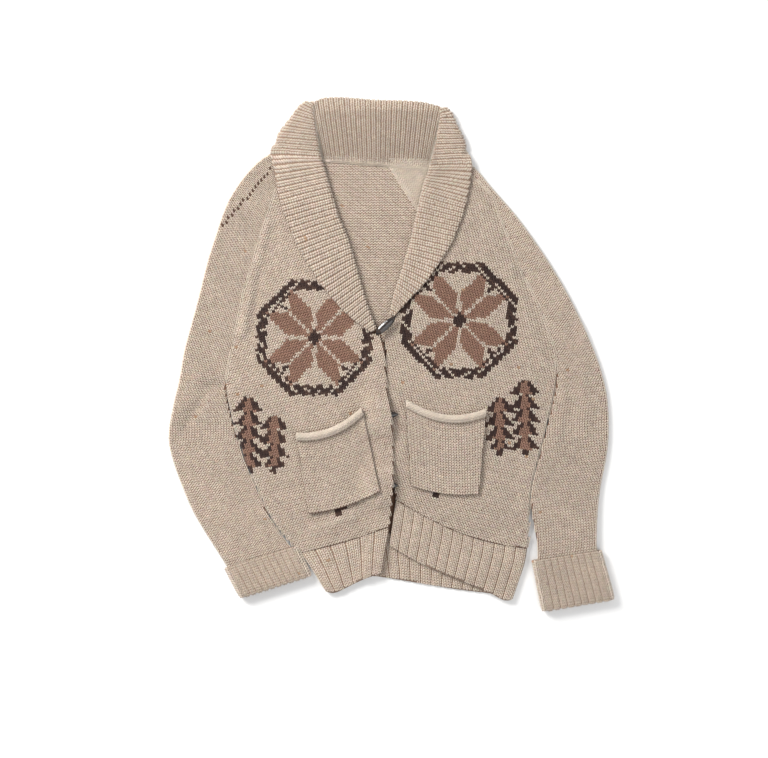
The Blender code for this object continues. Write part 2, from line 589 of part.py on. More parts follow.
# ---- Collar ----
def make_collar(material):
    """One ribbed band: sections across it stand on the neck seam, turn over at the roll line and
    fall to the free edge. Each is a B-spline on its table row's places; two stations make a rib."""
    table = np.array(COLLAR, float)
    table[:, :8] *= MM
    order = [2, 3, 0, 1] + list(range(4, 14))
    dense = smooth_through(table[:, order], np.linspace(0, 1, 600))
    length = np.linalg.norm(np.diff(dense[:, :2], axis=0), axis=1).sum()
    ribs = round(length / COLLAR_RIB)
    rows = smooth_through(table[:, order], np.linspace(0, 1, 2 * ribs + 1))
    roll, seam, side, edge = rows[:, 0:2], rows[:, 2:4], rows[:, 4:6], rows[:, 6:8]
    seam_on, stand_on, fall_on, over_on, under_on, edge_on = rows[:, 8:].clip(0, None).T

    def place(xy, layer):
        return np.column_stack([xy, layer_height(layer, xy[:, 0], xy[:, 1])])

    middle = seam * 0.5 + roll * 0.5
    control = np.stack([
        place(seam, seam_on), place(middle, seam_on * 0.3 + np.maximum(stand_on, 0.9) * 0.7),
        place(roll, stand_on), place(roll, fall_on),
        place(roll * 0.45 + side * 0.55, fall_on * 0.4 + over_on * 0.6),
        place(side, over_on), place(side, under_on), place(edge, edge_on)])
    shares = np.linspace(0, 1, 9)
    points = np.stack([b_spline(control[:, k], shares) for k in range(control.shape[1])], axis=1)
    grid = points.transpose(1, 0, 2)
    wave = np.zeros(grid.shape[:2])
    wave[1::2] = RIB_RISE
    crowded = np.linalg.norm(np.gradient(grid, axis=0), axis=2) < 0.0022
    wave[crowded] = 0
    wave[grid[:, :, 2] < TABLE + 0.0006] = 0
    wave[[0, -1]] = 0
    kept = every(grid.shape[1], 2)
    cloth("collar", grid, material, relief=wave, inner_rows=every(len(grid), 4), inner_columns=kept)


# ---- Pockets ----
def make_pocket(name, pocket, height, material):
    """A patch on the front's own surface, whose top edge curls towards the viewer in a roll."""
    top_left, top_right, low_right, low_left = plan(pocket["corners"])
    across = np.linspace(0, 1, 11)[None, :, None]
    down = np.linspace(0, 1, 7)[:, None, None]
    top = top_left + across * (top_right - top_left)
    sag = (pocket["sag"] * MM) * 4 * across * (1 - across)
    bottom = low_left + across * (low_right - low_left)
    drop = (bottom - top) / np.linalg.norm(bottom - top, axis=2)[:, :, None]
    top = top + sag * drop
    low_sag = 0.006 * 4 * across * (1 - across)
    points = top + down * (bottom + low_sag * drop - top)
    patch = raised(points, height(points[..., 0], points[..., 1]) + LAY + 0.0013)
    turn = np.radians(np.arange(250, 0, -36))[:, None]
    start = patch[0]
    curl = np.stack([
        start[:, 0] - drop[0, :, 0] * POCKET_ROLL * np.sin(turn),
        start[:, 1] - drop[0, :, 1] * POCKET_ROLL * np.sin(turn),
        start[:, 2] + POCKET_ROLL * (1 - np.cos(turn))], axis=2)
    cloth(name, np.concatenate([curl, patch]), material, inner_columns=every(11, 2), thickness=0.003)


# ---- Toggles ----
def make_toggle(name, x, y, degrees, layers, material):
    """A horn peg: a sphere drawn out into a flattened spindle, a little fuller towards one end."""
    peg = bmesh.new()
    bmesh.ops.create_uvsphere(peg, u_segments=12, v_segments=10, radius=0.5)
    points = np.array([vertex.co for vertex in peg.verts])[:, [2, 0, 1]]
    fullness = np.sqrt(np.clip(1 - (2 * points[:, 0]) ** 2, 0, 1)) + 1e-9
    belly = np.clip(1 - np.abs(2 * points[:, 0]) ** 2.6, 0, 1) ** 0.8 * (1 - 0.28 * points[:, 0])
    points[:, 1:] *= (belly / fullness)[:, None]
    points *= [TOGGLE_LENGTH, TOGGLE_WIDTH, TOGGLE_THICKNESS]
    turn = np.radians(degrees)
    rest = TOP + WALL / 2 + TOGGLE_GAP + LAY * (layers - 1) - points[:, 2].min()
    placed = np.column_stack([
        x * MM + points[:, 0] * np.cos(turn) - points[:, 1] * np.sin(turn),
        y * MM + points[:, 0] * np.sin(turn) + points[:, 1] * np.cos(turn),
        points[:, 2] + rest])
    for vertex, place in zip(peg.verts, placed):
        vertex.co = place
    finish(name, peg, material)


# ---- Materials and the whole garment ----
def finish_of(name, colour, roughness):
    """A Principled material with one colour."""
    material = bpy.data.materials.new(name)
    material.use_nodes = True
    shader = material.node_tree.nodes["Principled BSDF"]
    shader.inputs["Base Color"].default_value = colour
    shader.inputs["Roughness"].default_value = roughness
    material.diffuse_color = colour
    return material


for old in list(bpy.data.objects):
    bpy.data.objects.remove(old, do_unlink=True)
collection = bpy.data.collections.new("toggle_cardigan")
bpy.context.scene.collection.children.link(collection)
wool = finish_of("oatmeal_wool", OATMEAL, 0.95)
rib_wool = finish_of("oatmeal_rib", OATMEAL_SHADE, 0.95)
horn = finish_of("dark_horn", HORN, 0.25)

back_end = make_back(wool)
right_end = make_front("front_right", -1, (RIGHT_RAGLAN, RIGHT_SIDE), RIGHT_NECK, RIGHT_FRONT_EDGE,
                       RIGHT_WELT_TOP, right_front_height, wool)
left_end = make_front("front_left", 1, (LEFT_RAGLAN, LEFT_SIDE), LEFT_NECK, LEFT_FRONT_EDGE,
                      LEFT_WELT_TOP, top_height, wool)
make_welt("welt_back", back_end, BACK_HEM, (None, LEFT_WELT_SIDE), (True, True), flat_height, 1, rib_wool)
make_welt("welt_right", right_end, RIGHT_HEM, (RIGHT_WELT_SIDE, None), (True, False),
          right_front_height, -1, rib_wool)
make_welt("welt_left", left_end, LEFT_HEM, (None, LEFT_WELT_SIDE), (False, True), top_height, -1, rib_wool)
make_sleeve("sleeve_right", -1, RIGHT_SLEEVE_OUTER, RIGHT_SLEEVE_INNER, RIGHT_RAGLAN, RIGHT_BACK_RAGLAN,
            ((-151, 298), (-134, 294)), CUFFS["cuff_right"], wool)
make_sleeve("sleeve_left", 1, LEFT_SLEEVE_OUTER, LEFT_SLEEVE_INNER, LEFT_RAGLAN, LEFT_BACK_RAGLAN,
            ((106, 290), (88, 277), (59, 279), (-4, 284)), CUFFS["cuff_left"], wool)
for cuff_name, cuff_corners in CUFFS.items():
    make_cuff(cuff_name, cuff_corners, rib_wool)
make_collar(rib_wool)
make_pocket("pocket_right", POCKETS["pocket_right"], right_front_height, wool)
make_pocket("pocket_left", POCKETS["pocket_left"], top_height, wool)
for toggle_name, (toggle_x, toggle_y, toggle_turn, toggle_layers) in TOGGLES.items():
    make_toggle(toggle_name, toggle_x, toggle_y, toggle_turn, toggle_layers, horn)
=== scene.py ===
# %% [markdown]
# # A knitted toggle cardigan, laid flat
# A chunky wool cardigan lies on its back and is seen from straight above. Its cloth is worked out
# as surfaces: each piece is a grid of points, read from the garment's outlines. On top of each
# surface sit the stitches, as small lobes of yarn, because on thick knitwear the stitches are the
# shape of the surface. A bump texture alone would look flat from the side.

import bpy
import numpy as np
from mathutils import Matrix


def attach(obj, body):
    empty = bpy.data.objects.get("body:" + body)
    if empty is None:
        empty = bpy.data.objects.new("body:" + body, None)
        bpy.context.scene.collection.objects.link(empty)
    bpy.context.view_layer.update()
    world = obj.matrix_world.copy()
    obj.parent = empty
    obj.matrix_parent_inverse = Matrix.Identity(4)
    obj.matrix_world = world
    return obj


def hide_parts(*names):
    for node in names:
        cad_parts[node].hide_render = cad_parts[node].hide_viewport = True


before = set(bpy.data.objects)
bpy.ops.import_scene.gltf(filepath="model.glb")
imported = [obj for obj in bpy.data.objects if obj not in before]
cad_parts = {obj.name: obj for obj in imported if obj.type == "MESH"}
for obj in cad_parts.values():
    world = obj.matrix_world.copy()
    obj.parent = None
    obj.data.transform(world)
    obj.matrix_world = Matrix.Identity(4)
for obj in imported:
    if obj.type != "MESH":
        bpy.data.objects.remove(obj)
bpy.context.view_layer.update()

# %% [markdown]
# ## Camera, floor and light
# The photograph looks straight down, so the camera hangs over the garment with a long lens, which
# keeps the sleeves from leaning outwards. One pixel is 1.5 mm on the table. The light is a broad
# soft window at the upper left and a weak fill, and the floor is almost white.

# %% Camera, floor and light
PIXEL = 0.0015  # metres on the table
PICTURE = (768, 758)
GARMENT_AT = (392.5, 355)  # the outlines' origin, in pixels from the picture's top left corner
MIDDLE = np.array([-0.0020, 0.0026, 0.0])  # the frame's origin, measured from the outlines' origin
CAMERA_HEIGHT = 2.6
CLOTH_TOP = 0.008  # the usual height of the upper cloth, where a pixel has its size
SENSOR = 36
FLOOR_HALF, FLOOR_DROP = 4, 0.0004


def placed(name, data):
    """A new object that holds some data, linked to the scene."""
    made = bpy.data.objects.new(name, data)
    bpy.context.scene.collection.objects.link(made)
    return made


def feed(node, inputs):
    """Sets a node's inputs, by name or place, each to a value or to another node's output."""
    for key, value in inputs.items():
        if isinstance(value, bpy.types.NodeSocket):
            node.id_data.links.new(value, node.inputs[key])
        else:
            node.inputs[key].default_value = value


def new_material(name, inputs):
    """A material and its Principled shader, whose inputs are set."""
    material = bpy.data.materials.new(name)
    material.use_nodes = True
    shader = material.node_tree.nodes["Principled BSDF"]
    feed(shader, inputs)
    return material, shader


def soft_light(name, place, size, watts, colour):
    """A square area light at place that faces the garment's middle."""
    lamp = bpy.data.lights.new(name, "AREA")
    lamp.size, lamp.energy, lamp.color = size, watts, colour
    holder = placed(name, lamp)
    holder.location = place
    aim = -np.array(place)
    yaw, tilt = np.arctan2(aim[1], aim[0]), np.arccos(-aim[2] / np.linalg.norm(aim))
    holder.rotation_euler = (0, -tilt, yaw)


camera = placed("camera", bpy.data.cameras.new("camera"))
camera.location = ((PICTURE[0] / 2 - GARMENT_AT[0]) * PIXEL - MIDDLE[0],
                   (GARMENT_AT[1] - PICTURE[1] / 2) * PIXEL - MIDDLE[1], CAMERA_HEIGHT)
camera.data.sensor_width = SENSOR
camera.data.lens = SENSOR * (CAMERA_HEIGHT - CLOTH_TOP) / (PICTURE[0] * PIXEL)
bpy.context.scene.camera = camera
bpy.context.scene.view_settings.view_transform = "Standard"
soft_light("window", (-1.5, 1.3, 1.55), 1.1, 78, (1.0, 0.985, 0.96))
soft_light("fill", (1.2, -0.9, 2.4), 2.2, 24, (0.97, 0.985, 1.0))
world = bpy.data.worlds.new("studio")
world.use_nodes = True
feed(world.node_tree.nodes["Background"], {"Color": (1, 1, 1, 1), "Strength": 0.52})
bpy.context.scene.world = world

floor_mesh = bpy.data.meshes.new("floor")
floor_corners = [(x * FLOOR_HALF, y * FLOOR_HALF, -FLOOR_DROP)
                 for x, y in ((-1, -1), (1, -1), (1, 1), (-1, 1))]
floor_mesh.from_pydata(floor_corners, [], [(0, 1, 2, 3)])
paper, _ = new_material("white_paper", {"Base Color": (0.93, 0.93, 0.93, 1), "Roughness": 0.9})
floor_mesh.materials.append(paper)
floor = placed("floor", floor_mesh)
print("camera, two soft lights and a floor")

# %% [markdown]
# ## Outlines
# A maker starts from the flat pieces, so this file does too. Each table is a line on the table top
# in millimetres: seams, folds and edges, with the wearer's right side at -X. They are the same
# lines as the frame's solids have, so what is knitted here lies where the solids are.

# %% Outlines
MM = 0.001
WALL = 0.0035
SEAM = 0.00015  # each piece keeps this far from a seam's line
TABLE = WALL / 2  # middle surface of cloth that lies on the table
TOP = 0.0072  # middle surface of the garment's upper layer
LAY = 0.0043  # from one layer's middle surface to the next
RIGHT_SLEEVE_OUTER = (
    (-151, 298), (-170, 307), (-191, 299), (-215, 278), (-233, 255), (-247, 232), (-256, 210),
    (-264, 186), (-278, 142), (-289, 98), (-301, 52), (-313, 8), (-321, -38), (-331, -82),
    (-337, -124), (-332, -152), (-317, -195), (-298, -240), (-274, -285), (-253, -320))
RIGHT_SLEEVE_INNER = ((-251, -45), (-238, -105), (-218, -165), (-199, -210), (-176, -254), (-148, -287))
RIGHT_SIDE = RIGHT_SLEEVE_INNER + ((-140, -298),)
RIGHT_WELT_SIDE = ((-140, -298), (-119, -327), (-100, -355))
RIGHT_RAGLAN = (
    (-157, 274), (-175, 246), (-188, 207), (-200, 170), (-212, 130), (-223, 96), (-232, 52),
    (-242, 4), (-251, -45))
RIGHT_BACK_RAGLAN = ((-134, 294), (-158, 238), (-188, 158), (-221, 52), (-251, -45))
RIGHT_NECK = (
    (-157, 274), (-141, 242), (-127, 200), (-106, 155), (-81, 105), (-57, 65), (-31, 34))
RIGHT_FRONT_EDGE = (
    (-23, 31), (-14, 18), (-10, -22), (-7, -58), (-2, -90), (1, -128), (1, -186), (-2, -225),
    (-5, -258), (-11, -302), (-17, -327))
LEFT_SLEEVE_OUTER = (
    (106, 290), (116, 288), (128, 277), (146, 255), (185, 210), (218, 165), (247, 120), (272, 75),
    (293, 30), (311, -15), (322, -60), (325, -112), (322, -150), (313, -195), (307, -240),
    (306, -280), (310, -293))
LEFT_SLEEVE_INNER = (
    (247, -28), (241, -63), (230, -111), (218, -159), (209, -195), (206, -225), (209, -255),
    (212, -285), (211, -308))
LEFT_SIDE = ((247, -28), (241, -63), (230, -111), (218, -159), (208, -202), (205, -243), (203, -291))
LEFT_WELT_SIDE = ((203, -291), (200, -310), (191, -338), (181, -367))
LEFT_RAGLAN = (
    (100, 279), (124, 264), (148, 240), (164, 200), (179, 164), (194, 124), (214, 86), (233, 40),
    (244, 4), (247, -28))
LEFT_BACK_RAGLAN = ((-4, 284), (41, 214), (109, 130), (184, 45), (247, -28))
LEFT_NECK = ((100, 279), (84, 243), (75, 205), (60, 163), (37, 116), (19, 85), (3, 55))
LEFT_FRONT_EDGE = (
    (-5, 50), (-9, 30), (-11, -8), (-10, -68), (-8, -128), (-5, -172), (4, -208), (2, -248),
    (-5, -286))
RIGHT_WELT_TOP = ((-140, -298), (-72, -281), (-5, -258))
RIGHT_HEM = ((-100, -355), (-88, -357), (-61, -345), (-40, -335), (-17, -327))
LEFT_WELT_TOP = ((5, -218), (53, -245), (100, -267), (154, -283), (203, -291))
LEFT_HEM = ((-5, -286), (25, -304), (67, -324), (118, -345), (148, -358), (168, -368), (181, -367))
BACK_WELT_TOP = ((-140, -298), (-80, -280), (-22, -268), (71, -275), (203, -291))
BACK_HEM = ((-115, -333), (-71, -330), (-22, -333), (53, -345), (97, -352), (146, -358), (181, -362))

# Cuffs: the corners of each turned-back cuff, the sleeve's outer fold first
CUFFS = {
    "cuff_right": {"top": ((-253, -320), (-142, -285)), "end": ((-229, -366), (-119, -331))},
    "cuff_left": {"top": ((314, -292), (208, -308)), "end": ((335, -367), (223, -386))},
}
# Patch pockets: corners top left, top right, bottom right, bottom left, and the mouth's sag
POCKETS = {
    "pocket_right": {"corners": ((-144, -122), (-45, -84), (-19, -204), (-125, -238)), "sag": 12},
    "pocket_left": {"corners": ((20, -72), (140, -86), (129, -208), (28, -196)), "sag": 16},
}
# Middles of the two toggles that the right front hides
HIDDEN_TOGGLES = ((-11, -90), (-11, -196))

# The largest folds of the upper layer.
# Columns: from x, y, to x, y, half width, rise (minus is a trough)
FOLDS = (
    (-250, -46, -304, -50, 8, -1.5),  # crease below the right sleeve's underarm
    (-276, -50, -312, -108, 8, -1.5),  # and the one that turns down from it
    (-292, -32, -326, -100, 13, 1.6),
    (-188, 196, -228, 30, 7, 1.5),  # ridge beside the right raglan seam
    (-202, 130, -212, 20, 9, -1.3),
    (-116, -150, -108, -215, 12, -1.0),
    (248, -28, 272, -44, 10, -1.4),  # crease below the left sleeve's underarm
    (286, 40, 284, -120, 12, 1.3),
    (258, -60, 246, -120, 10, 1.2),
    (268, -255, 290, -300, 9, -1.2),
    (222, -280, 238, -306, 8, -1.3),
    (176, 130, 226, -10, 10, 1.2),
    (190, -120, 178, -220, 12, -1.0),
    (-60, -240, -120, -262, 12, 1.1),
)

# The shawl collar: one row for each section, from the right lapel's end round the neck.
# Columns, in millimetres: seam x, y; roll line x, y; outermost place of the fall x, y; free edge
# x, y; then the layer each lies on: seam, stand beside the roll, fall beside the roll, outermost
# place above and below, and free edge. Layer 0 is the table, 1 the garment's top, 2 lies on it.
LAPEL = (1.0, 0.8, 2.2, 2.0, 2.0, 2.0)
STAND = (0.0, 1.5, 0.0, 0.0, 0.0, 0.0)
COLLAR = (
    (-29, 36, -25, 38, -28, 36, -32, 34, 1.0, 0.9, 2.1, 2.0, 2.0, 2.0),
    (-55, 66, -40, 78, -52, 68, -65, 58, 1.0, 0.8, 2.1, 2.0, 2.0, 2.0),
    (-79, 106, -53, 123, -75, 109, -98, 94, *LAPEL),
    (-104, 156, -67, 171, -99, 158, -132, 144, *LAPEL),
    (-123, 200, -83, 212, -118, 201, -154, 189, *LAPEL),
    (-137, 242, -95, 252, -132, 243, -169, 233, *LAPEL),
    (-123, 275, -104, 284, -140, 279, -177, 273, 0.9, 0.9, 2.2, 2.1, 2.1, 2.1),
    (-107, 294, -109, 300, -160, 304, -183, 304, 0.5, 1.0, 2.2, 2.1, 2.1, 2.0),
    (-106, 294, -112, 318, -173, 323, -173, 317, 0.1, 1.3, 2.2, 1.9, 0.6, 0.2),
    (-105, 293.6, -117, 346, -154, 354, -138, 328, 0.0, 1.5, 2.1, 1.7, 0.0, 0.0),
    (-103, 293.4, -119, 374, -129, 380, -113, 322, 0.0, 1.6, 1.9, 1.5, 0.0, 0.0),
    (-92, 292.4, -106, 384, -104, 370, -97, 318, *STAND),
    (-22, 287, -22, 382, -22, 360, -22, 314, *STAND),
    (40, 282.2, 53, 377, 50, 355, 42, 310, *STAND),
    (52, 281.3, 71, 369, 80, 370, 55, 312, 0.0, 1.6, 1.9, 1.5, 0.0, 0.0),
    (54, 281.2, 70, 342, 98, 341, 80, 320, 0.0, 1.5, 2.1, 1.7, 0.0, 0.0),
    (56, 281.2, 64, 311, 109, 313, 107, 307, 0.1, 1.3, 2.2, 1.9, 0.6, 0.2),
    (57, 282, 58, 287, 100, 289, 119, 289, 0.7, 1.0, 2.2, 2.1, 2.1, 2.0),
    (80, 245, 47, 252, 80, 243, 112, 234, *LAPEL),
    (73, 206, 38, 214, 69, 206, 101, 198, *LAPEL),
    (58, 164, 28, 171, 55, 165, 83, 158, *LAPEL),
    (35, 117, 14, 123, 30, 115, 47, 106, *LAPEL),
    (17, 87, 4, 92, 12, 85, 20, 78, 1.0, 0.8, 2.1, 2.0, 2.0, 2.0),
    (1, 58, -3, 60, 0, 59, 3, 58, 1.0, 0.9, 2.1, 2.0, 2.0, 2.0),
)

# %% [markdown]
# ## Curves through the outlines
# A line with a few points becomes a smooth curve with Catmull-Rom pieces: each piece leaves a point
# in the direction of its neighbours. Reading a curve at equal shares of its length gives the rows
# of a grid.

# %% Curves
PIECE_STEPS = 12  # points on each piece of a curve
LINE_STEPS = 60  # points on each line that joined() makes


def plan(points):
    """A table of millimetres as an array of metres."""
    return np.array(points, float) * MM


def smooth_through(rows, fractions):
    """Rows of numbers joined by Catmull-Rom pieces, read at fractions of the first two columns' length."""
    rows = np.array(rows, float)
    if len(rows) == 2:
        rows = np.array([rows[0], rows.mean(0), rows[1]])
    ends = np.vstack([2 * rows[0] - rows[1], rows, 2 * rows[-1] - rows[-2]])
    step = np.linalg.norm(np.diff(ends[:, :2], axis=0), axis=1) ** 0.5 + 1e-9
    knot = np.concatenate([[0], np.cumsum(step)])
    spans = zip(knot[1:-2], knot[2:-1])
    t = np.concatenate([np.linspace(a, b, PIECE_STEPS, endpoint=False) for a, b in spans])
    t = np.append(t, knot[-2] - 1e-9)
    i = np.clip(np.searchsorted(knot, t, side="right") - 1, 1, len(rows) - 1)
    p = [ends[i + k] for k in (-1, 0, 1, 2)]
    k = [knot[i + k][:, None] for k in (-1, 0, 1, 2)]
    t = t[:, None]
    first = [((k[j + 1] - t) * p[j] + (t - k[j]) * p[j + 1]) / (k[j + 1] - k[j]) for j in range(3)]
    second = [((k[j + 2] - t) * first[j] + (t - k[j]) * first[j + 1]) / (k[j + 2] - k[j]) for j in range(2)]
    fine = ((k[2] - t) * second[0] + (t - k[1]) * second[1]) / (k[2] - k[1])
    return read_along(fine, fractions)


def read_along(points, fractions):
    """A polyline's rows at fractions of its length in plan."""
    along = np.concatenate([[0], np.cumsum(np.linalg.norm(np.diff(points[:, :2], axis=0), axis=1))])
    at = np.asarray(fractions) * along[-1]
    return np.stack([np.interp(at, along, column) for column in points.T], axis=1)


def joined(*curves):
    """Curves end to end, without the doubled points, each smooth and with its corners kept."""
    fine = [smooth_through(curve, np.linspace(0, 1, LINE_STEPS)) for curve in curves]
    keep = fine[0]
    for curve in fine[1:]:
        keep = np.vstack([keep, curve[1:] if np.linalg.norm(curve[0] - keep[-1]) < 1e-4 else curve])
    return keep


def beside(points, distance):
    """A plan curve moved sideways, towards +X where it runs down."""
    along = np.gradient(points, axis=0)
    side = np.stack([-along[:, 1], along[:, 0]], axis=1)
    side /= np.linalg.norm(side, axis=1)[:, None] + 1e-12
    return points + side * distance


def ease(x):
    """0 below 0, 1 above 1, and smooth between."""
    x = np.clip(x, 0, 1)
    return x * x * (3 - 2 * x)

# %% [markdown]
# ## How high the cloth lies
# The back lies on the table, the fronts on the back, and the right front climbs over the left one.
# Soft ridges and troughs are bells round a few lines, and the two hidden toggles lift the cloth.

# %% Heights
LAP_WIDTH = 0.042
LAP_SLOPE = 0.028
LAP_STARTS, LAP_RISE = 0.030, 0.035  # the lap starts below this y, and is full this much lower
TOGGLE_BUMP = 0.0084
BUMP_SHIFT = 0.003
BUMP_HALF_WIDTH, BUMP_HALF_LENGTH = 0.031, 0.030
FOLD_DEPTH = 1.75  # the cloth folds more sharply than the solids that it replaces
FOLD_WIDTH = 0.85


def folds(x, y):
    """The ridges and troughs: each falls off as a bell with the distance from its line."""
    rise = np.zeros(np.broadcast(x, y).shape)
    for x1, y1, x2, y2, half_width, height in plan(FOLDS):
        run_x, run_y = x2 - x1, y2 - y1
        along = np.clip(((x - x1) * run_x + (y - y1) * run_y) / (run_x**2 + run_y**2), 0, 1)
        away = np.hypot(x - x1 - along * run_x, y - y1 - along * run_y)
        rise += FOLD_DEPTH * height * np.exp(-((away / (FOLD_WIDTH * half_width)) ** 2))
    return rise


def top_height(x, y):
    """Middle surface of the sleeves' upper layer and of the left front."""
    return TOP + folds(x, y)


def right_front_height(x, y):
    """The right front laps over the left one's edge, and rises over the toggles that it hides."""
    edge = plan(RIGHT_FRONT_EDGE)
    from_edge = np.interp(-y, -edge[:, 1], edge[:, 0]) - x
    lap = LAY * ease((LAP_WIDTH - from_edge) / LAP_SLOPE) * ease((LAP_STARTS - y) / LAP_RISE)
    bump = 0.0
    for peg_x, peg_y in plan(HIDDEN_TOGGLES):
        across, along = (x - peg_x + BUMP_SHIFT) / BUMP_HALF_WIDTH, (y - peg_y) / BUMP_HALF_LENGTH
        bump = bump + TOGGLE_BUMP * np.exp(-(across**4) - along**4)
    return top_height(x, y) + lap + bump


print("cloth over a hidden toggle", right_front_height(*plan(HIDDEN_TOGGLES[:1]).T))

# %% [markdown]
# ## Surfaces of the panels
# A panel's grid has straight courses between its two sides. Where the side is a fold, the last
# few millimetres sink along a quarter circle, so that the upper layer turns over to the lower one.

# %% Panel grids
ROWS = 61
UNDERARM = 0.58  # share of a panel's rows that are above the underarm
NECK_START = 0.35
HALF_GAP = (TOP - TABLE) / 2
CLOSES_AFTER, CLOSES_OVER = 0.03, 0.06  # shares below the underarm where a side closes to a fold
FIT_ROWS = 12  # rows over which a panel's end bends onto its join line


def seam_then_fold(seam, fold, side):
    """A panel's side: the raglan seam down to the underarm, then the folded side, at each row."""
    down = np.linspace(0, 1, ROWS)
    above = down < UNDERARM
    upper = beside(read_along(joined(plan(seam)), down[above] / UNDERARM), side * SEAM)
    share = (down[~above] - UNDERARM) / (1 - UNDERARM)
    fold = read_along(joined(plan(fold)), share)
    lower = beside(fold, side * SEAM)
    lower += (beside(fold, side * (WALL / 2 + 2 * SEAM)) - lower) * ease(share / 0.10)[:, None]
    return np.vstack([upper, lower])


def curled(distance, radius):
    """How far a folded edge sinks: radius times 1 minus a quarter circle over the last radius."""
    return radius * (1 - np.sqrt(np.clip(1 - np.clip(1 - distance / radius, 0, 1) ** 2, 0, 1)))


def curl_shares(width, count, first, last):
    """Shares of a width, evenly spaced, with four more close to each folded edge."""
    close = HALF_GAP * np.array([0, 0.08, 0.25, 0.55]) / width
    low = close if first else [0]
    high = 1 - close[::-1] if last else [1]
    return np.concatenate([low, np.linspace(low[-1], high[0], count)[1:-1], high])


def courses(left, right, shares, folded, start=UNDERARM):
    """Points at shares of the straight line from left to right in each row, and their sink."""
    points = left[:, None] + shares[None, :, None] * (right - left)[:, None]
    width = np.linalg.norm(right - left, axis=1)[:, None]
    radius = HALF_GAP - 3 * SEAM
    amount = ease((np.linspace(0, 1, len(left)) - start - CLOSES_AFTER) / CLOSES_OVER)[:, None]
    sink = np.zeros(points.shape[:2])
    if folded[0]:
        sink += curled(shares[None] * width, radius) * amount
    if folded[1]:
        sink += curled((1 - shares[None]) * width, radius) * amount
    return points, sink


def fitted(points, row, curve, reach):
    """The first or last row moved onto a curve, the change fading over reach rows."""
    line = points[row]
    along = np.linalg.norm(line - line[0], axis=1)
    curve = curve.copy()
    curve[0], curve[-1] = line[0], line[-1]
    change = read_along(curve, along / along[-1]) - line
    rows = np.arange(len(points))
    away = rows if row == 0 else rows[::-1]
    return points + ease(1 - away / reach)[:, None, None] * change


def raised(points, height):
    """Plan points with their height as the third coordinate."""
    return np.dstack([points, height])


def flat_height(x, y):
    """Middle surface of cloth that lies on the table."""
    return TABLE + 0 * (x + y)


def back_grid():
    """The back, whose folded sides curl up towards the fronts."""
    left = seam_then_fold(RIGHT_BACK_RAGLAN, RIGHT_SIDE, 1)
    right = seam_then_fold(LEFT_BACK_RAGLAN, LEFT_SIDE, -1)
    points, sink = courses(left, right, curl_shares(0.45, 40, True, True), (True, True))
    points = fitted(points, -1, joined(plan(BACK_WELT_TOP)), FIT_ROWS)
    return raised(points, TABLE + sink)


def front_grid(hand, seams, neck, edge, welt, height):
    """hand is -1 for the wearer's right front, whose folded side is at its low end."""
    outer = seam_then_fold(*seams, -hand)
    neck_line = beside(joined(plan(neck)), hand * 2 * SEAM)
    edge_line = joined(plan(edge))
    corner = plan(welt[-1] if hand < 0 else welt[0])
    stop = np.argmin(np.linalg.norm(edge_line - corner, axis=1))
    inner = read_along(np.vstack([neck_line, edge_line[: stop + 1]]), np.linspace(0, 1, ROWS))
    for line in (outer, inner):
        line[0] += (line[1] - line[0]) * 2 * NECK_START
    shares = curl_shares(0.2, 44, hand < 0, hand > 0)
    sides = (outer, inner) if hand < 0 else (inner, outer)
    points, sink = courses(*sides, shares, (hand < 0, hand > 0))
    points = fitted(points, -1, joined(plan(welt)), FIT_ROWS)
    return raised(points, height(points[..., 0], points[..., 1]) - sink)


back = back_grid()
right_front = front_grid(-1, (RIGHT_RAGLAN, RIGHT_SIDE), RIGHT_NECK, RIGHT_FRONT_EDGE, RIGHT_WELT_TOP,
                         right_front_height)
left_front = front_grid(1, (LEFT_RAGLAN, LEFT_SIDE), LEFT_NECK, LEFT_FRONT_EDGE, LEFT_WELT_TOP, top_height)
print("panel grids", back.shape, right_front.shape, left_front.shape)

# %% [markdown]
# ## Surfaces of the ribbed pieces
# Rib is knitted so that some wales stand up and others sink. The grids of the welts, cuffs and
# collar are therefore laid out by rib: one line of points for each step across a rib, and the wave
# of the rib is added along the surface's own normal.

# %% Welt, sleeve, cuff and collar grids
STEPS = 8  # lines of points to each rib
WELT_RIB = 0.0155
WELT_ROWS = 13
CUFF_RIB = 0.0122
COLLAR_RIB = 0.008
COLLAR_LINES = 4  # lines of points to each of its ribs


def half_circle(steps):
    """Angles between 90 and -90 degrees, without the ends."""
    return np.radians(np.linspace(90, -90, steps + 2)[1:-1])


def welt_grid(join, hem, sides, folded, height, rise):
    """Down from the panel's last row to the hem. Returns the grid and its rib count."""
    down = np.linspace(0, 1, WELT_ROWS)
    join = join[:, :2] - [0, 2 * SEAM]
    hem = joined(plan(hem))
    length = np.linalg.norm(np.diff(hem, axis=0), axis=1).sum()
    ribs = max(1, round(length / WELT_RIB))
    places = np.linspace(0, 1, ribs * STEPS + 1)
    edges = []
    for end, inwards, side in ((0, 1, sides[0]), (-1, -1, sides[1])):
        line = np.vstack([join[end], hem[end]]) if side is None else joined(plan(side))
        line = beside(line, inwards * (WALL / 2 + SEAM)) if folded[end] else line
        line = read_along(line, down)
        edges.append(line + (join[end] - line[0]) * (1 - ease(down / 0.4))[:, None])
    points, sink = courses(*edges, places, folded, start=-1)
    points = fitted(points, 0, join, WELT_ROWS - 1)
    points = fitted(points, -1, hem, WELT_ROWS - 1)
    return raised(points, height(points[..., 0], points[..., 1]) + rise * sink), ribs


TOP_COLUMNS, UNDER_COLUMNS, TURN_STEPS = 34, 16, 5
CLOSING = 0.0006  # how far each layer stays from the middle at the sleeve's inner side


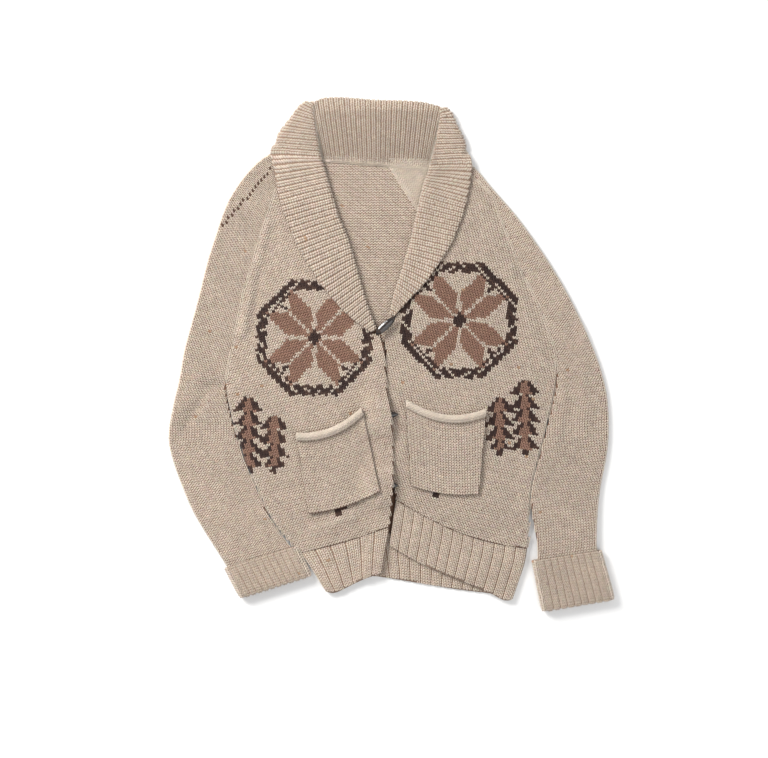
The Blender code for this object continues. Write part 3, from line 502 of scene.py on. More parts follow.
def sleeve_section(outer, top_end, low_end, low, high, closed):
    """In from the front seam over the upper layer, round the fold, back along the lower layer."""
    radius, middle = (high - low) / 2, (high + low) / 2
    toward_top, toward_low = top_end - outer, low_end - outer
    top_width, low_width = np.linalg.norm(toward_top), np.linalg.norm(toward_low)
    toward_top, toward_low = toward_top / top_width, toward_low / low_width
    top_run, low_run = top_width - radius, low_width - radius
    top = radius + curl_shares(top_run, TOP_COLUMNS, False, True)[::-1] * top_run
    under = radius + curl_shares(low_run, UNDER_COLUMNS, False, True) * low_run
    turn = half_circle(TURN_STEPS)
    fold = outer + (radius - radius * np.cos(turn))[:, None] * (toward_top + toward_low) / 2
    points = np.vstack([outer + top[:, None] * toward_top, fold, outer + under[:, None] * toward_low])
    z = np.concatenate([
        high - closed * curled(top_width - top, radius - CLOSING),
        middle + radius * np.sin(turn),
        low + closed * curled(low_width - under, radius - CLOSING)])
    return points, z


SLEEVE_FOLD = TOP_COLUMNS + 3 + TURN_STEPS // 2  # the column at the middle of the outer fold
SLEEVE_FIT_COLUMNS = 8
CUFF_OVERLAP = 0.012
CUFF_INSET = LAY
CUFF_EASE = 0.002
CUFF_GAP = 0.0012  # between the cuff's turned-back part and what it lies on
CUFF_ROWS = 41
COLLAR_POINTS = 33
# Shares of a sleeve's rows: where it starts to narrow into the cuff, and how long it narrows and rises
TAPER_STARTS, TAPER, RISE = 0.84, 0.14, 0.13


def sleeve_grid(hand, outer, inner, front_seam, back_seam, back_neck, cuff):
    """Sections in equal shares of the sleeve's length; hand is -1 for the wearer's right sleeve."""
    down = np.linspace(0, 1, ROWS)
    outer_line = read_along(beside(joined(plan(outer)), -hand * (WALL / 2 + SEAM)), down)
    top_line = seam_then_fold(front_seam, inner, hand)
    low_line = seam_then_fold(back_seam, inner, hand)
    for line in (outer_line, top_line):
        line[0] += (line[1] - line[0]) * 2 * NECK_START
    corners = [
        top + (end - top) * (CUFF_OVERLAP - 2 * SEAM) / np.linalg.norm(end - top)
        for top, end in zip(plan(cuff["top"]), plan(cuff["end"]))]
    toward = (corners[1] - corners[0]) / np.linalg.norm(corners[1] - corners[0])
    narrow = (WALL / 2 + SEAM + CUFF_INSET + CUFF_EASE) * toward
    into = ease((down - TAPER_STARTS) / TAPER)[:, None]
    outer_line = outer_line + into * (corners[0] + narrow - outer_line[-1])
    top_line = top_line + into * (corners[1] - narrow - top_line[-1])
    low_line = low_line + into * (corners[1] - narrow - low_line[-1])
    closed = ease((down - UNDERARM - CLOSES_AFTER) / CLOSES_OVER)
    lift = ease((down - TAPER_STARTS) / RISE) * CUFF_INSET
    low, high = TABLE + lift, TOP + lift * 0.75
    sections = [
        sleeve_section(outer_line[r], top_line[r], low_line[r], low[r], high[r], closed[r])
        for r in range(ROWS)]
    points = np.array([section[0] for section in sections])
    heights = np.array([section[1] for section in sections])
    lower = SLEEVE_FOLD + 3
    points[:, lower:] = fitted(points[:, lower:], 0, joined(plan(back_neck)), SLEEVE_FIT_COLUMNS)
    upper = np.clip((heights - TABLE - lift[:, None]) / (TOP - TABLE), 0, 1)
    heights += folds(points[..., 0], points[..., 1]) * upper * (1 - lift / CUFF_INSET)[:, None]
    return raised(points, heights)


def flat_ring(width, low, high, places):
    """(distance from the outer edge, height) along the top, round a fold, back and round again."""
    radius, middle = (high - low) / 2, (high + low) / 2
    run = width - 2 * radius
    turn = half_circle(TURN_STEPS)
    over = np.column_stack([radius + places * run, np.full(len(places), high)])
    inner = np.column_stack([width - radius + radius * np.cos(turn), middle + radius * np.sin(turn)])
    under = np.column_stack([width - radius - places * run, np.full(len(places), low)])
    outer = np.column_stack([radius - radius * np.cos(turn), middle - radius * np.sin(turn)])
    return np.vstack([over, inner, under, outer])


def b_spline(corners, shares):
    """Points of a quadratic B-spline, at shares of the way from its first corner to its last."""
    corners = np.array(corners, float)
    corners = np.vstack([2 * corners[0] - corners[1], corners, 2 * corners[-1] - corners[-2]])
    place = 0.5 + np.asarray(shares) * (len(corners) - 3)
    i = np.minimum(place.astype(int), len(corners) - 3)
    t = (place - i)[:, None]
    return 0.5 * (1 - t) ** 2 * corners[i] + (0.5 + t - t * t) * corners[i + 1] + 0.5 * t * t * corners[i + 2]


def cuff_grid(cuff):
    """Rows from inside at the sleeve's end, over the fold at the wrist and back outside."""
    (top_a, top_b), (end_a, end_b) = plan(cuff["top"]), plan(cuff["end"])
    length = np.linalg.norm(end_a - top_a)
    turn = WALL / 2
    section = b_spline((
        (CUFF_OVERLAP + 2 * SEAM, 0), (length * 0.5, 0), (length - turn, 0), (length - turn, 1),
        (length * 0.5, 1), (length * 0.2, 1), (0, 1)), np.linspace(0, 1, CUFF_ROWS))
    total = TABLE + CUFF_INSET + WALL + CUFF_GAP + CUFF_INSET
    ribs = round(np.linalg.norm(top_b - top_a) / CUFF_RIB)
    places = np.linspace(0, 1, ribs * STEPS + 1)
    grid = []
    for along, outside in section:
        share = along / length
        a, b = top_a + share * (end_a - top_a), top_b + share * (end_b - top_b)
        toward = (b - a) / np.linalg.norm(b - a)
        edge = WALL / 2 + SEAM + (1 - outside) * CUFF_INSET
        a, b = a + toward * edge, b - toward * edge
        low = TABLE + (1 - outside) * CUFF_INSET
        high = total - (1 - outside) * CUFF_INSET
        ring = flat_ring(np.linalg.norm(b - a), low, high, places)
        grid.append(np.column_stack([a + ring[:, :1] * toward, ring[:, 1]]))
    return np.array(grid), ribs


def layer_height(layer, x, y):
    """Layer 0 lies on the table, 1 is the garment's top layer, and each more lies LAY higher."""
    height = np.where(layer < 1, TABLE + (TOP - TABLE) * layer, TOP + LAY * (layer - 1))
    return height + folds(x, y) * np.clip(layer, 0, 1)


def collar_grid():
    """Lines across the collar from the neck seam over the roll line to the free edge."""
    table = np.array(COLLAR, float)
    table[:, :8] *= MM
    order = [2, 3, 0, 1] + list(range(4, 14))
    dense = smooth_through(table[:, order], np.linspace(0, 1, 600))
    length = np.linalg.norm(np.diff(dense[:, :2], axis=0), axis=1).sum()
    ribs = round(length / COLLAR_RIB)
    rows = smooth_through(table[:, order], np.linspace(0, 1, COLLAR_LINES * ribs + 1))
    roll, seam, side, edge = rows[:, 0:2], rows[:, 2:4], rows[:, 4:6], rows[:, 6:8]
    seam_on, stand_on, fall_on, over_on, under_on, edge_on = rows[:, 8:].clip(0, None).T

    def place(xy, layer):
        return np.column_stack([xy, layer_height(layer, xy[:, 0], xy[:, 1])])

    middle = seam * 0.5 + roll * 0.5
    control = np.stack([
        place(seam, seam_on), place(middle, seam_on * 0.3 + np.maximum(stand_on, 0.9) * 0.7),
        place(roll, stand_on), place(roll, fall_on),
        place(roll * 0.45 + side * 0.55, fall_on * 0.4 + over_on * 0.6),
        place(side, over_on), place(side, under_on), place(edge, edge_on)])
    shares = np.linspace(0, 1, COLLAR_POINTS)
    return np.stack([b_spline(control[:, k], shares) for k in range(control.shape[1])], axis=0), ribs


welt_right, welt_right_ribs = welt_grid(right_front[-1], RIGHT_HEM, (RIGHT_WELT_SIDE, None), (True, False),
                                        right_front_height, -1)
welt_left, welt_left_ribs = welt_grid(left_front[-1], LEFT_HEM, (None, LEFT_WELT_SIDE), (False, True),
                                      top_height, -1)
welt_back, welt_back_ribs = welt_grid(back[-1], BACK_HEM, (None, LEFT_WELT_SIDE), (True, True),
                                      flat_height, 1)
sleeve_right = sleeve_grid(-1, RIGHT_SLEEVE_OUTER, RIGHT_SLEEVE_INNER, RIGHT_RAGLAN, RIGHT_BACK_RAGLAN,
                           ((-151, 298), (-134, 294)), CUFFS["cuff_right"])
sleeve_left = sleeve_grid(1, LEFT_SLEEVE_OUTER, LEFT_SLEEVE_INNER, LEFT_RAGLAN, LEFT_BACK_RAGLAN,
                          ((106, 290), (88, 277), (59, 279), (-4, 284)), CUFFS["cuff_left"])
cuff_right, cuff_right_ribs = cuff_grid(CUFFS["cuff_right"])
cuff_left, cuff_left_ribs = cuff_grid(CUFFS["cuff_left"])
collar, collar_ribs = collar_grid()
print("ribs in welts", welt_right_ribs, welt_left_ribs, welt_back_ribs, "cuffs", cuff_right_ribs,
      cuff_left_ribs, "collar", collar_ribs)

# %% Pocket grids
POCKET_ROLL = 0.0036  # radius
POCKET_LIFT = LAY + 0.0013
POCKET_COLUMNS, POCKET_ROWS, ROLL_ROWS = 41, 37, 17
ROLL_FROM, ROLL_TO = 290, 12  # degrees
LOWER_SAG = 0.006


def pocket_grid(pocket, height):
    """A patch on the front's own surface whose top edge curls towards the viewer."""
    top_left, top_right, low_right, low_left = plan(pocket["corners"])
    across = np.linspace(0, 1, POCKET_COLUMNS)[None, :, None]
    down = np.linspace(0, 1, POCKET_ROWS)[:, None, None]
    top = top_left + across * (top_right - top_left)
    bottom = low_left + across * (low_right - low_left)
    drop = (bottom - top) / np.linalg.norm(bottom - top, axis=2)[:, :, None]
    bow = 4 * across * (1 - across) * drop
    top = top + pocket["sag"] * MM * bow
    points = top + down * (bottom + LOWER_SAG * bow - top)
    patch = raised(points, height(points[..., 0], points[..., 1]) + POCKET_LIFT)
    turn = np.radians(np.linspace(ROLL_FROM, ROLL_TO, ROLL_ROWS))[:, None]
    start = patch[0]
    curl = np.stack([
        start[:, 0] - drop[0, :, 0] * POCKET_ROLL * np.sin(turn),
        start[:, 1] - drop[0, :, 1] * POCKET_ROLL * np.sin(turn),
        start[:, 2] + POCKET_ROLL * (1 - np.cos(turn))], axis=2)
    return np.concatenate([curl, patch])


pocket_right = pocket_grid(POCKETS["pocket_right"], right_front_height)
pocket_left = pocket_grid(POCKETS["pocket_left"], top_height)
print("pocket grids", pocket_right.shape, pocket_left.shape)

# %% [markdown]
# ## Wool and horn
# Each stitch carries its own colour as an attribute on the mesh, a little lighter or darker than
# its neighbour, as marled wool is. The material adds the fibres: a fine noise in colour and bump,
# full roughness and a soft sheen from the hairs that stand up. Horn is nearly black, with brown
# streaks that run through it, and polished.

# %% Wool and horn
OATMEAL = np.array([0.600, 0.512, 0.425])
MID_BROWN = np.array([0.30, 0.172, 0.122])
DARK_BROWN = np.array([0.040, 0.0165, 0.0125])
# Painted shade: the cloth between the stitches and between the ribs is the same oatmeal yarn, darkened for
# the shade that falls there
GAP_SHADE_COLOUR = OATMEAL * [0.26, 0.16, 0.12]  # seen deep between the stitches
RIB_GAP_SHADE_COLOUR = OATMEAL * [0.46, 0.36, 0.31]
UNDERSIDE_COLOUR = OATMEAL * 0.85


def node_of(tree, kind, inputs, **settings):
    """A shader node with its settings and inputs."""
    node = tree.nodes.new(f"ShaderNode{kind}")
    for name, value in settings.items():
        setattr(node, name, value)
    feed(node, inputs)
    return node


def noise(tree, place, scale, detail, roughness):
    """Noise from 0 to 1 at a place."""
    return node_of(tree, "TexNoise", {
        "Vector": place, "Scale": scale, "Detail": detail, "Roughness": roughness}).outputs["Fac"]


def remap(tree, value, from_low, from_high, low, high):
    """One range of a value stretched over another."""
    return node_of(tree, "MapRange", {
        "Value": value, "From Min": from_low, "From Max": from_high, "To Min": low,
        "To Max": high}).outputs["Result"]


def product(tree, a, b):
    """Two values multiplied."""
    return node_of(tree, "Math", {0: a, 1: b}, operation="MULTIPLY").outputs["Value"]


def wool_material(name, knit_bump):
    """Yarn colour times fibre noise. knit_bump adds rows of V's to cloth that has no stitches."""
    material, shader = new_material(name, {
        "Roughness": 0.92, "Specular IOR Level": 0.22, "Sheen Weight": 0.28, "Sheen Roughness": 0.55})
    tree = material.node_tree
    place = node_of(tree, "TexCoord", {}).outputs["Object"]
    yarn = node_of(tree, "Attribute", {}, attribute_name="yarn").outputs["Color"]
    fibre, patch = noise(tree, place, 900, 3, 0.65), noise(tree, place, 28, 2, 0.5)
    fine, wide = remap(tree, fibre, 0.25, 0.75, 0.80, 1.16), remap(tree, patch, 0.3, 0.7, 0.955, 1.04)
    tone = product(tree, fine, wide)
    tinted = node_of(tree, "VectorMath", {0: yarn, "Scale": tone}, operation="SCALE").outputs["Vector"]
    height = fibre
    if knit_bump:
        waves = []
        for turn in (0.62, -0.62):
            lean = node_of(tree, "Mapping", {"Vector": place, "Rotation": (0, 0, turn)}).outputs["Vector"]
            wave = node_of(tree, "TexWave", {"Vector": lean, "Scale": 105, "Distortion": 1.2, "Detail": 1})
            waves.append(wave.outputs["Fac"])
        inputs = {0: product(tree, *waves), 1: 2.5, 2: fibre}
        height = node_of(tree, "Math", inputs, operation="MULTIPLY_ADD").outputs["Value"]
    bump = node_of(tree, "Bump", {"Height": height, "Strength": 0.55, "Distance": 0.0006}).outputs["Normal"]
    feed(shader, {"Base Color": tinted, "Normal": bump})
    return material


def horn_material():
    """Noise stretched along the toggle, through a ramp from black to brown, under a clear coat."""
    material, shader = new_material("polished_horn", {
        "Roughness": 0.16, "Coat Weight": 0.5, "Coat Roughness": 0.08})
    tree = material.node_tree
    place = node_of(tree, "TexCoord", {}).outputs["Object"]
    streak = node_of(tree, "Mapping", {"Vector": place, "Scale": (60, 420, 420), "Rotation": (0, 0, 0.3)})
    grain = noise(tree, streak.outputs["Vector"], 1, 4, 0.6)
    tones = node_of(tree, "ValToRGB", {"Fac": grain})
    dark, light = tones.color_ramp.elements
    dark.position, dark.color = 0.42, (0.008, 0.006, 0.006, 1)
    light.position, light.color = 0.80, (0.060, 0.034, 0.022, 1)
    bump = node_of(tree, "Bump", {"Height": grain, "Strength": 0.25, "Distance": 0.0004})
    feed(shader, {"Base Color": tones.outputs["Color"], "Normal": bump.outputs["Normal"]})
    return material


yarn_wool = wool_material("wool_stitches", False)
cloth_wool = wool_material("wool_cloth", True)
horn = horn_material()
print("materials", [m.name for m in (yarn_wool, cloth_wool, horn)])

# %% [markdown]
# ## From a grid to cloth
# The cloth below the stitches is a thin closed shell: the grid moved out a little along its
# normals, the same grid moved in to the wall's inner face, and a rim between them. The stitches
# then fill the last millimetre, so that their tops reach the height of the real fabric.

# %% Shell
STITCH_BED = 0.0007  # the shell's outer face over the middle surface; the stitches rise from here
SKIN = 0.0002  # the least thickness of the shell


def skin_normals(grid):
    """Unit cross product of the grid's two directions, on the side that looks up where it is high."""
    normal = np.cross(np.gradient(grid, axis=1, edge_order=2), np.gradient(grid, axis=0))
    normal /= np.linalg.norm(normal, axis=2)[:, :, None] + 1e-15
    above = grid[:, :, 2] - grid[:, :, 2].min() + WALL
    return normal * np.sign((normal[:, :, 2] * above).sum())


def new_piece(name, points, triangles, colours, material):
    """A mesh of triangles from arrays, with one colour for each point, that rides on the garment."""
    mesh = bpy.data.meshes.new(name)
    mesh.vertices.add(len(points))
    mesh.vertices.foreach_set("co", (points - MIDDLE).astype(np.float32).ravel())
    mesh.loops.add(triangles.size)
    mesh.loops.foreach_set("vertex_index", triangles.astype(np.int32).ravel())
    mesh.polygons.add(len(triangles))
    mesh.polygons.foreach_set("loop_start", np.arange(0, triangles.size, 3, dtype=np.int32))
    mesh.polygons.foreach_set("use_smooth", np.ones(len(triangles), bool))
    layer = mesh.color_attributes.new("yarn", "FLOAT_COLOR", "POINT")
    opaque = np.column_stack([colours, np.ones(len(points))])
    layer.data.foreach_set("color", opaque.astype(np.float32).ravel())
    mesh.update(calc_edges=True)
    mesh.materials.append(material)
    piece = placed(name, mesh)
    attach(piece, "root")
    return piece


def quads(rows, columns, around):
    """The four corners of each cell of a grid, in order; around joins the last column to the first."""
    r, c = np.meshgrid(np.arange(rows - 1), np.arange(columns if around else columns - 1), indexing="ij")
    n = (c + 1) % columns
    corners = [r * columns + c, r * columns + n, (r + 1) * columns + n, (r + 1) * columns + c]
    return np.stack(corners, -1).reshape(-1, 4)


def shell(name, grid, slot, node, relief=0.0, around=False, colours=None, wall=WALL):
    """A closed thin wall: outer skin at the bed plus relief, inner skin half a wall below the middle."""
    rows, columns = grid.shape[:2]
    if around:
        normal = skin_normals(np.concatenate([grid[:, -2:], grid, grid[:, :2]], axis=1))[:, 2:-2]
    else:
        normal = skin_normals(grid)
    outer = grid + normal * (STITCH_BED + np.broadcast_to(relief, grid.shape[:2]))[:, :, None]
    inner = grid - normal * (wall / 2 - SKIN)
    outer[:, :, 2] = np.maximum(outer[:, :, 2], SKIN)
    inner[:, :, 2] = np.maximum(inner[:, :, 2], 0)
    points = np.concatenate([outer.reshape(-1, 3), inner.reshape(-1, 3)])
    count = rows * columns
    cells = quads(rows, columns, around)
    faces = [cells, cells[:, ::-1] + count]

    def rim(line):
        """Cells between the two skins along a line of the outer one."""
        a, b = line[:-1], line[1:]
        return np.column_stack([b, a, a + count, b + count])

    top, end = np.arange(columns), (rows - 1) * columns + np.arange(columns)
    if around:
        top, end = np.append(top, 0), np.append(end, (rows - 1) * columns)
    faces += [rim(top), rim(end[::-1])]
    if not around:
        left = np.arange(rows) * columns
        faces += [rim(left[::-1]), rim(left + columns - 1)]
    faces = np.concatenate(faces)
    triangles = np.concatenate([faces[:, [0, 1, 2]], faces[:, [0, 2, 3]]])
    a, b, c = (points[triangles[:, k]] for k in range(3))
    if np.einsum("ij,ij->i", a, np.cross(b, c)).sum() < 0:
        triangles = triangles[:, ::-1]
    # Unless colours are given, the outer skin takes the painted shade colour of the gaps between stitches or
    # ribs
    if colours is None:
        colours = np.broadcast_to(RIB_GAP_SHADE_COLOUR if slot == "rib" else GAP_SHADE_COLOUR, (count, 3))
    colours = np.vstack([colours.reshape(-1, 3), np.broadcast_to(UNDERSIDE_COLOUR, (count, 3))])
    piece = new_piece(name, points, triangles, colours, cloth_wool)
    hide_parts(node)
    return piece

# %% [markdown]
# ## One stitch
# A knit stitch seen from its right side is a V: two legs of yarn that meet at the foot and lean
# apart. Each leg is a small lobe with two tips and two rings of four points, twelve triangles in
# all, and the next stitch covers its tips. The wrong side shows short arcs that lie across.

# %% Stitch shapes
# Four places of each lobe from tip to tip: across, along, half width, rise
KNIT_LEG = np.array([(0.07, 0.76, 0, -0.5), (0.175, 0.30, 0.175, 0.92), (0.315, -0.26, 0.205, 1.0),
                     (0.42, -0.74, 0, -0.45)])
KNIT_LEGS = np.stack([KNIT_LEG, KNIT_LEG * [-1, 1, 1, 1]])
PURL_ARCS = np.array([
    [(-0.58, 0.20, 0, -0.5), (-0.22, -0.10, 0.19, 0.95), (0.22, -0.10, 0.19, 0.95), (0.58, 0.20, 0, -0.5)],
    [(-0.08, 0.24, 0, -0.5), (0.28, 0.52, 0.19, 0.85), (0.72, 0.52, 0.19, 0.85), (1.08, 0.24, 0, -0.5)]])
RINGS = ((-1.0, -0.30), (-0.42, 1.0), (0.42, 1.0), (1.0, -0.30))  # across the lobe: side, rise


def lobe_points(legs, aspect):
    """(points, 3) of across, along and rise for one stitch; aspect is row height over wale width."""
    made = []
    for leg in legs:
        line = leg[:, :2] * [1, aspect]
        for k, (middle, (_, _, half, rise)) in enumerate(zip(line, leg)):
            if k in (0, 3):
                made.append([middle[0], middle[1] / aspect, rise])
                continue
            run = line[k + 1] - line[k - 1]
            side = np.array([-run[1], run[0]]) / np.hypot(*run)
            for out, up in RINGS:
                spot = middle + side * half * out
                made.append([spot[0], spot[1] / aspect, rise * up])
    return np.array(made)


LOBE_POINTS = 10
LOBE = np.array([  # triangles: from one tip to the first ring, between the rings, to the other tip
    (0, 2, 1), (0, 3, 2), (0, 4, 3), (1, 2, 6), (1, 6, 5), (2, 3, 7), (2, 7, 6), (3, 4, 8), (3, 8, 7),
    (9, 5, 6), (9, 6, 7), (9, 7, 8)])
print("triangles in a stitch", 2 * len(LOBE))


# %% [markdown]
# ## Laying stitches on a surface
# Stitches sit in wales, the columns, and rows. A surface is read at (line, arc): a place between
# two of its lines, and a length along them. Every corner of every lobe is read there, so the
# stitches bend with folds, ribs and edges. Small random changes in size keep the fabric handmade.

# %% Surface reader and knitting
class Surface:
    """A grid read between its lines and along them, in metres from the column named zero."""

    def __init__(self, grid, zero=0, relief=0.0):
        normal = skin_normals(grid)
        grid = grid + normal * np.broadcast_to(relief, grid.shape[:2])[:, :, None]
        steps = np.linalg.norm(np.diff(grid, axis=1), axis=2)
        arc = np.concatenate([np.zeros((len(grid), 1)), np.cumsum(steps, 1)], 1)
        arc -= arc[:, zero][:, None]
        self.low, self.high, self.step = arc[:, 0], arc[:, -1], 0.001
        self.first = arc.min()
        reads = np.arange(self.first, arc.max() + self.step, self.step)
        both = np.concatenate([grid, normal], axis=2)
        table = [[np.interp(reads, a, channel) for channel in line.T] for a, line in zip(arc, both)]
        self.table = np.array(table).transpose(0, 2, 1)
        down = np.linalg.norm(np.diff(grid[:, zero], axis=0), axis=1)
        self.down = np.concatenate([[0], np.cumsum(down)])

    def lines(self, metres):
        """The line at each distance down the zero column."""
        return np.interp(metres, self.down, np.arange(len(self.down)))

    def sides(self, metres):
        """The arcs of the low and high edges at each distance down the zero column."""
        line = self.lines(metres)
        return [np.interp(line, np.arange(len(side)), side) for side in (self.low, self.high)]

    def at(self, line, arc):
        """Points and normals, blended from the four nearest reads."""
        line = np.clip(line, 0, len(self.table) - 1.0001)
        k = np.clip((arc - self.first) / self.step, 0, self.table.shape[1] - 1.0001)
        l0, k0 = line.astype(int), k.astype(int)
        s, t = (line - l0)[..., None], (k - k0)[..., None]
        low = self.table[l0, k0] * (1 - t) + self.table[l0, k0 + 1] * t
        high = self.table[l0 + 1, k0] * (1 - t) + self.table[l0 + 1, k0 + 1] * t
        read = low * (1 - s) + high * s
        normal = read[..., 3:]
        return read[..., :3], normal / (np.linalg.norm(normal, axis=-1, keepdims=True) + 1e-9)


STITCH_RISE = 0.00135
STITCH_FLOOR = 0.0003  # no stitch reaches lower than this
STITCH_ASPECT = 0.8  # a row's height over a wale's width
SIZE_CHANGE, PLACE_CHANGE = 0.03, 0.025
LIGHT_CHANGE, WARM_CHANGE = 0.055, 0.018
FLECKS, FLECK_TINT = 0.0022, [0.78, 0.60, 0.46]
chance = np.random.default_rng(7)


def marl(count):
    """Yarn colours that differ a little from stitch to stitch, with a rare tan fleck."""
    light = 1 + LIGHT_CHANGE * chance.standard_normal((count, 1))
    warm = 1 + WARM_CHANGE * chance.standard_normal((count, 3))
    colours = OATMEAL * light * warm
    colours[chance.random(count) < FLECKS] *= FLECK_TINT
    return np.clip(colours, 0.004, 0.85)


def knit(name, read, sites, legs, wale, row, colours, lift=STITCH_BED):
    """Lobes of each stitch: read(across, along) gives points and normals for arrays of places, and
    sites holds each stitch's own (across, along) in the same units as wale and row."""
    shape = lobe_points(legs, STITCH_ASPECT)
    count, per = len(sites), len(shape)
    size = 1 + SIZE_CHANGE * chance.standard_normal((count, 1, 3))
    jitter = PLACE_CHANGE * chance.standard_normal((count, 1, 2))
    local = shape[None] * size
    across = sites[:, :1] + (local[..., 0] + jitter[..., 0]) * wale
    along = sites[:, 1:2] + (local[..., 1] + jitter[..., 1]) * row
    points, normals = read(across, along)
    points = points + normals * (lift + local[..., 2] * STITCH_RISE)[..., None]
    points[..., 2] = np.maximum(points[..., 2], STITCH_FLOOR)
    stitch = (LOBE[None] + LOBE_POINTS * np.arange(len(legs))[:, None, None]).reshape(-1, 3)
    triangles = (stitch[None] + per * np.arange(count)[:, None, None]).reshape(-1, 3)
    flat = points.reshape(-1, 3)
    a, b, c = (flat[triangles[:, k]] for k in range(3))
    facing = np.einsum("ij,ij->i", np.cross(b - a, c - a), normals.reshape(-1, 3)[triangles[:, 0]])
    if facing.sum() < 0:
        triangles = triangles[:, ::-1]
    print(name, count, "stitches,", len(triangles), "triangles")
    return new_piece(name, flat, triangles, np.repeat(colours, per, axis=0), yarn_wool)

# %% [markdown]
# ## The fronts
# The fronts' wales lean a little, as in a garment that was laid down by hand. A lattice of wales
# and rows is laid on the table plan along a gently bent centre line, and the stitches outside the
# panel's outline are left out.

# %% Lattice on the plan
WALE = 0.0048
ROW = 0.0039
LINE_STEP = 0.002


def site_grid(wales, rows, row=ROW):
    """Stitch centres (across, along), one row after another, for numbered wales and rows."""
    i, j = np.meshgrid(wales, rows)
    return np.column_stack([i.ravel() * WALE, j.ravel() * row])


def inside(points, outline):
    """Which plan points lie within a closed outline: those whose ray crosses it an odd time."""
    x, y = points[:, :1], points[:, 1:]
    a, b = outline, np.roll(outline, -1, axis=0)
    crosses = (a[:, 1] > y) != (b[:, 1] > y)
    reach = (b[:, 0] - a[:, 0]) * (y - a[:, 1]) / (b[:, 1] - a[:, 1] + 1e-12) + a[:, 0]
    return (crosses & (x < reach)).sum(1) % 2 == 1


def away_from(points, line):
    """Distance of plan points from a polyline."""
    best = np.full(points.shape[:-1], 1e9)
    for a, b in zip(line[:-1], line[1:]):
        run = b - a
        t = np.clip(((points - a) @ run) / (run @ run + 1e-15), 0, 1)
        best = np.minimum(best, np.linalg.norm(points - a - t[..., None] * run, axis=-1))
    return best


class Lattice:
    """Wales and rows on the plan: a centre line, bent by a table of y and degrees of lean, and rows
    square to it."""

    def __init__(self, start, leans, length):
        self.steps = np.arange(0, length, LINE_STEP)
        x, y = start
        line, angles = [], []
        for _ in self.steps:
            lean = np.radians(np.interp(-y, [-a for a, _ in leans], [b for _, b in leans]))
            line.append((x, y))
            angles.append(lean)
            x, y = x + LINE_STEP * np.sin(lean), y - LINE_STEP * np.cos(lean)
        self.line, self.angles = np.array(line), np.array(angles)

    def at(self, across, along):
        """The plan point at a distance along the centre line and another across it."""
        turn = np.interp(along, self.steps, self.angles)
        x = np.interp(along, self.steps, self.line[:, 0]) + across * np.cos(turn)
        y = np.interp(along, self.steps, self.line[:, 1]) + across * np.sin(turn)
        return np.stack([x, y], -1)

    def sites(self, half, length):
        """Stitch centres (across, along) up to half to both sides of the line."""
        reach = int(half / WALE)
        return site_grid(np.arange(-reach, reach + 1), np.arange(int(length / ROW)))


def slope_normals(height, xy, step=0.002):
    """Unit normals of a height over the plan, from differences over a short step."""
    x, y = xy[..., 0], xy[..., 1]
    dx = (height(x + step, y) - height(x - step, y)) / (2 * step)
    dy = (height(x, y + step) - height(x, y - step)) / (2 * step)
    normal = np.stack([-dx, -dy, np.ones_like(dx)], -1)
    return normal / np.linalg.norm(normal, axis=-1, keepdims=True)


# %% [markdown]
# ## The two-colour motif
# Both fronts carry a knitted motif in mid brown and dark brown. It is charted as a knitter charts
# it, stitch by stitch: an eight-pointed star whose petals are slanted squares, a stepped frame
# round it, and fir trees beside the pocket. Every rule below works on the distance from the
# star's middle, counted in stitches.

# %% Motif
CHART = 0.0045  # metres to a stitch of the chart
EYE = 2.6
PETAL_FROM, PETAL_TO = 0.7, 8.4
RAY_FROM, RAY_HALF = 9.6, 0.9  # dark diagonals between the star and its frame
FRAME_FROM, FRAME_TO = 15.9, 19.3
SLANT = 0.71  # makes the frame's slanted sides as far away as its straight ones
# Columns, in stitches from the star's middle: place towards the front edge, top, height
TREES = ((-22.0, -20, 23), (-13.5, -26, 17), (8.0, -50, 7))
TIER = 4.6  # height of one tier of branches
BRANCH_START, BRANCH_SLOPE, BRANCH_CORE = 1.2, 0.85, 0.42
TALL_TREE = 12  # taller ones have a lighter core
TRUNK = (2.2, 1.1)  # height and half width
TONES = np.array([OATMEAL, MID_BROWN, DARK_BROWN])


def star(a, b):
    """Eight petals: with a the larger and b the smaller distance, b and a - b within a petal's size."""
    a, b = np.maximum(a, b), np.minimum(a, b)
    return (b >= PETAL_FROM) & (b <= PETAL_TO) & (a - b >= PETAL_FROM) & (a - b <= PETAL_TO)


def charted(xy, middle, hand):
    """0 plain, 1 mid brown, 2 dark brown, for plan points round the middle of a front's star."""
    across, up = (xy[:, 0] - middle[0]) / CHART, (xy[:, 1] - middle[1]) / CHART
    a, b = np.abs(across), np.abs(up)
    tone = np.zeros(len(xy), int)
    tone[star(a, b)] = 1
    ring = np.maximum(np.maximum(a, b), (a + b) * SLANT)
    tone[(ring > FRAME_FROM) & (ring < FRAME_TO) & ((np.round(a) + np.round(b)) % 4 != 0)] = 2
    tone[a + b < EYE] = 2
    tone[(np.maximum(a, b) > RAY_FROM) & (np.abs(a - b) < RAY_HALF) & (ring < FRAME_FROM - 0.3)] = 2
    for tree, top, tall in TREES:
        wide, down = np.abs(hand * across - tree), top - up
        branch = BRANCH_START + (down % TIER) * BRANCH_SLOPE
        body = (down > 0) & (down < tall)
        tone[body & (wide < branch)] = 2
        tone[body & (wide < branch * BRANCH_CORE) & (tall > TALL_TREE)] = 1
        tone[(down >= tall) & (down < tall + TRUNK[0]) & (wide < TRUNK[1])] = 2
    return tone

# %% Fronts
STAR_RIGHT = np.array([-0.117, 0.026])  # middles of the two stars
STAR_LEFT = np.array([0.100, 0.052])
EDGE_OVER = 0.0016  # a stitch's centre may lie this far past the folded side
FRONT_REACH, FRONT_LENGTH = 0.20, 0.66


def outline_of(*tables):
    """Tables of millimetres joined end to end. Each comes with 1, or -1 where it runs backwards."""
    return np.vstack([joined(plan(table))[::step] for table, step in tables])


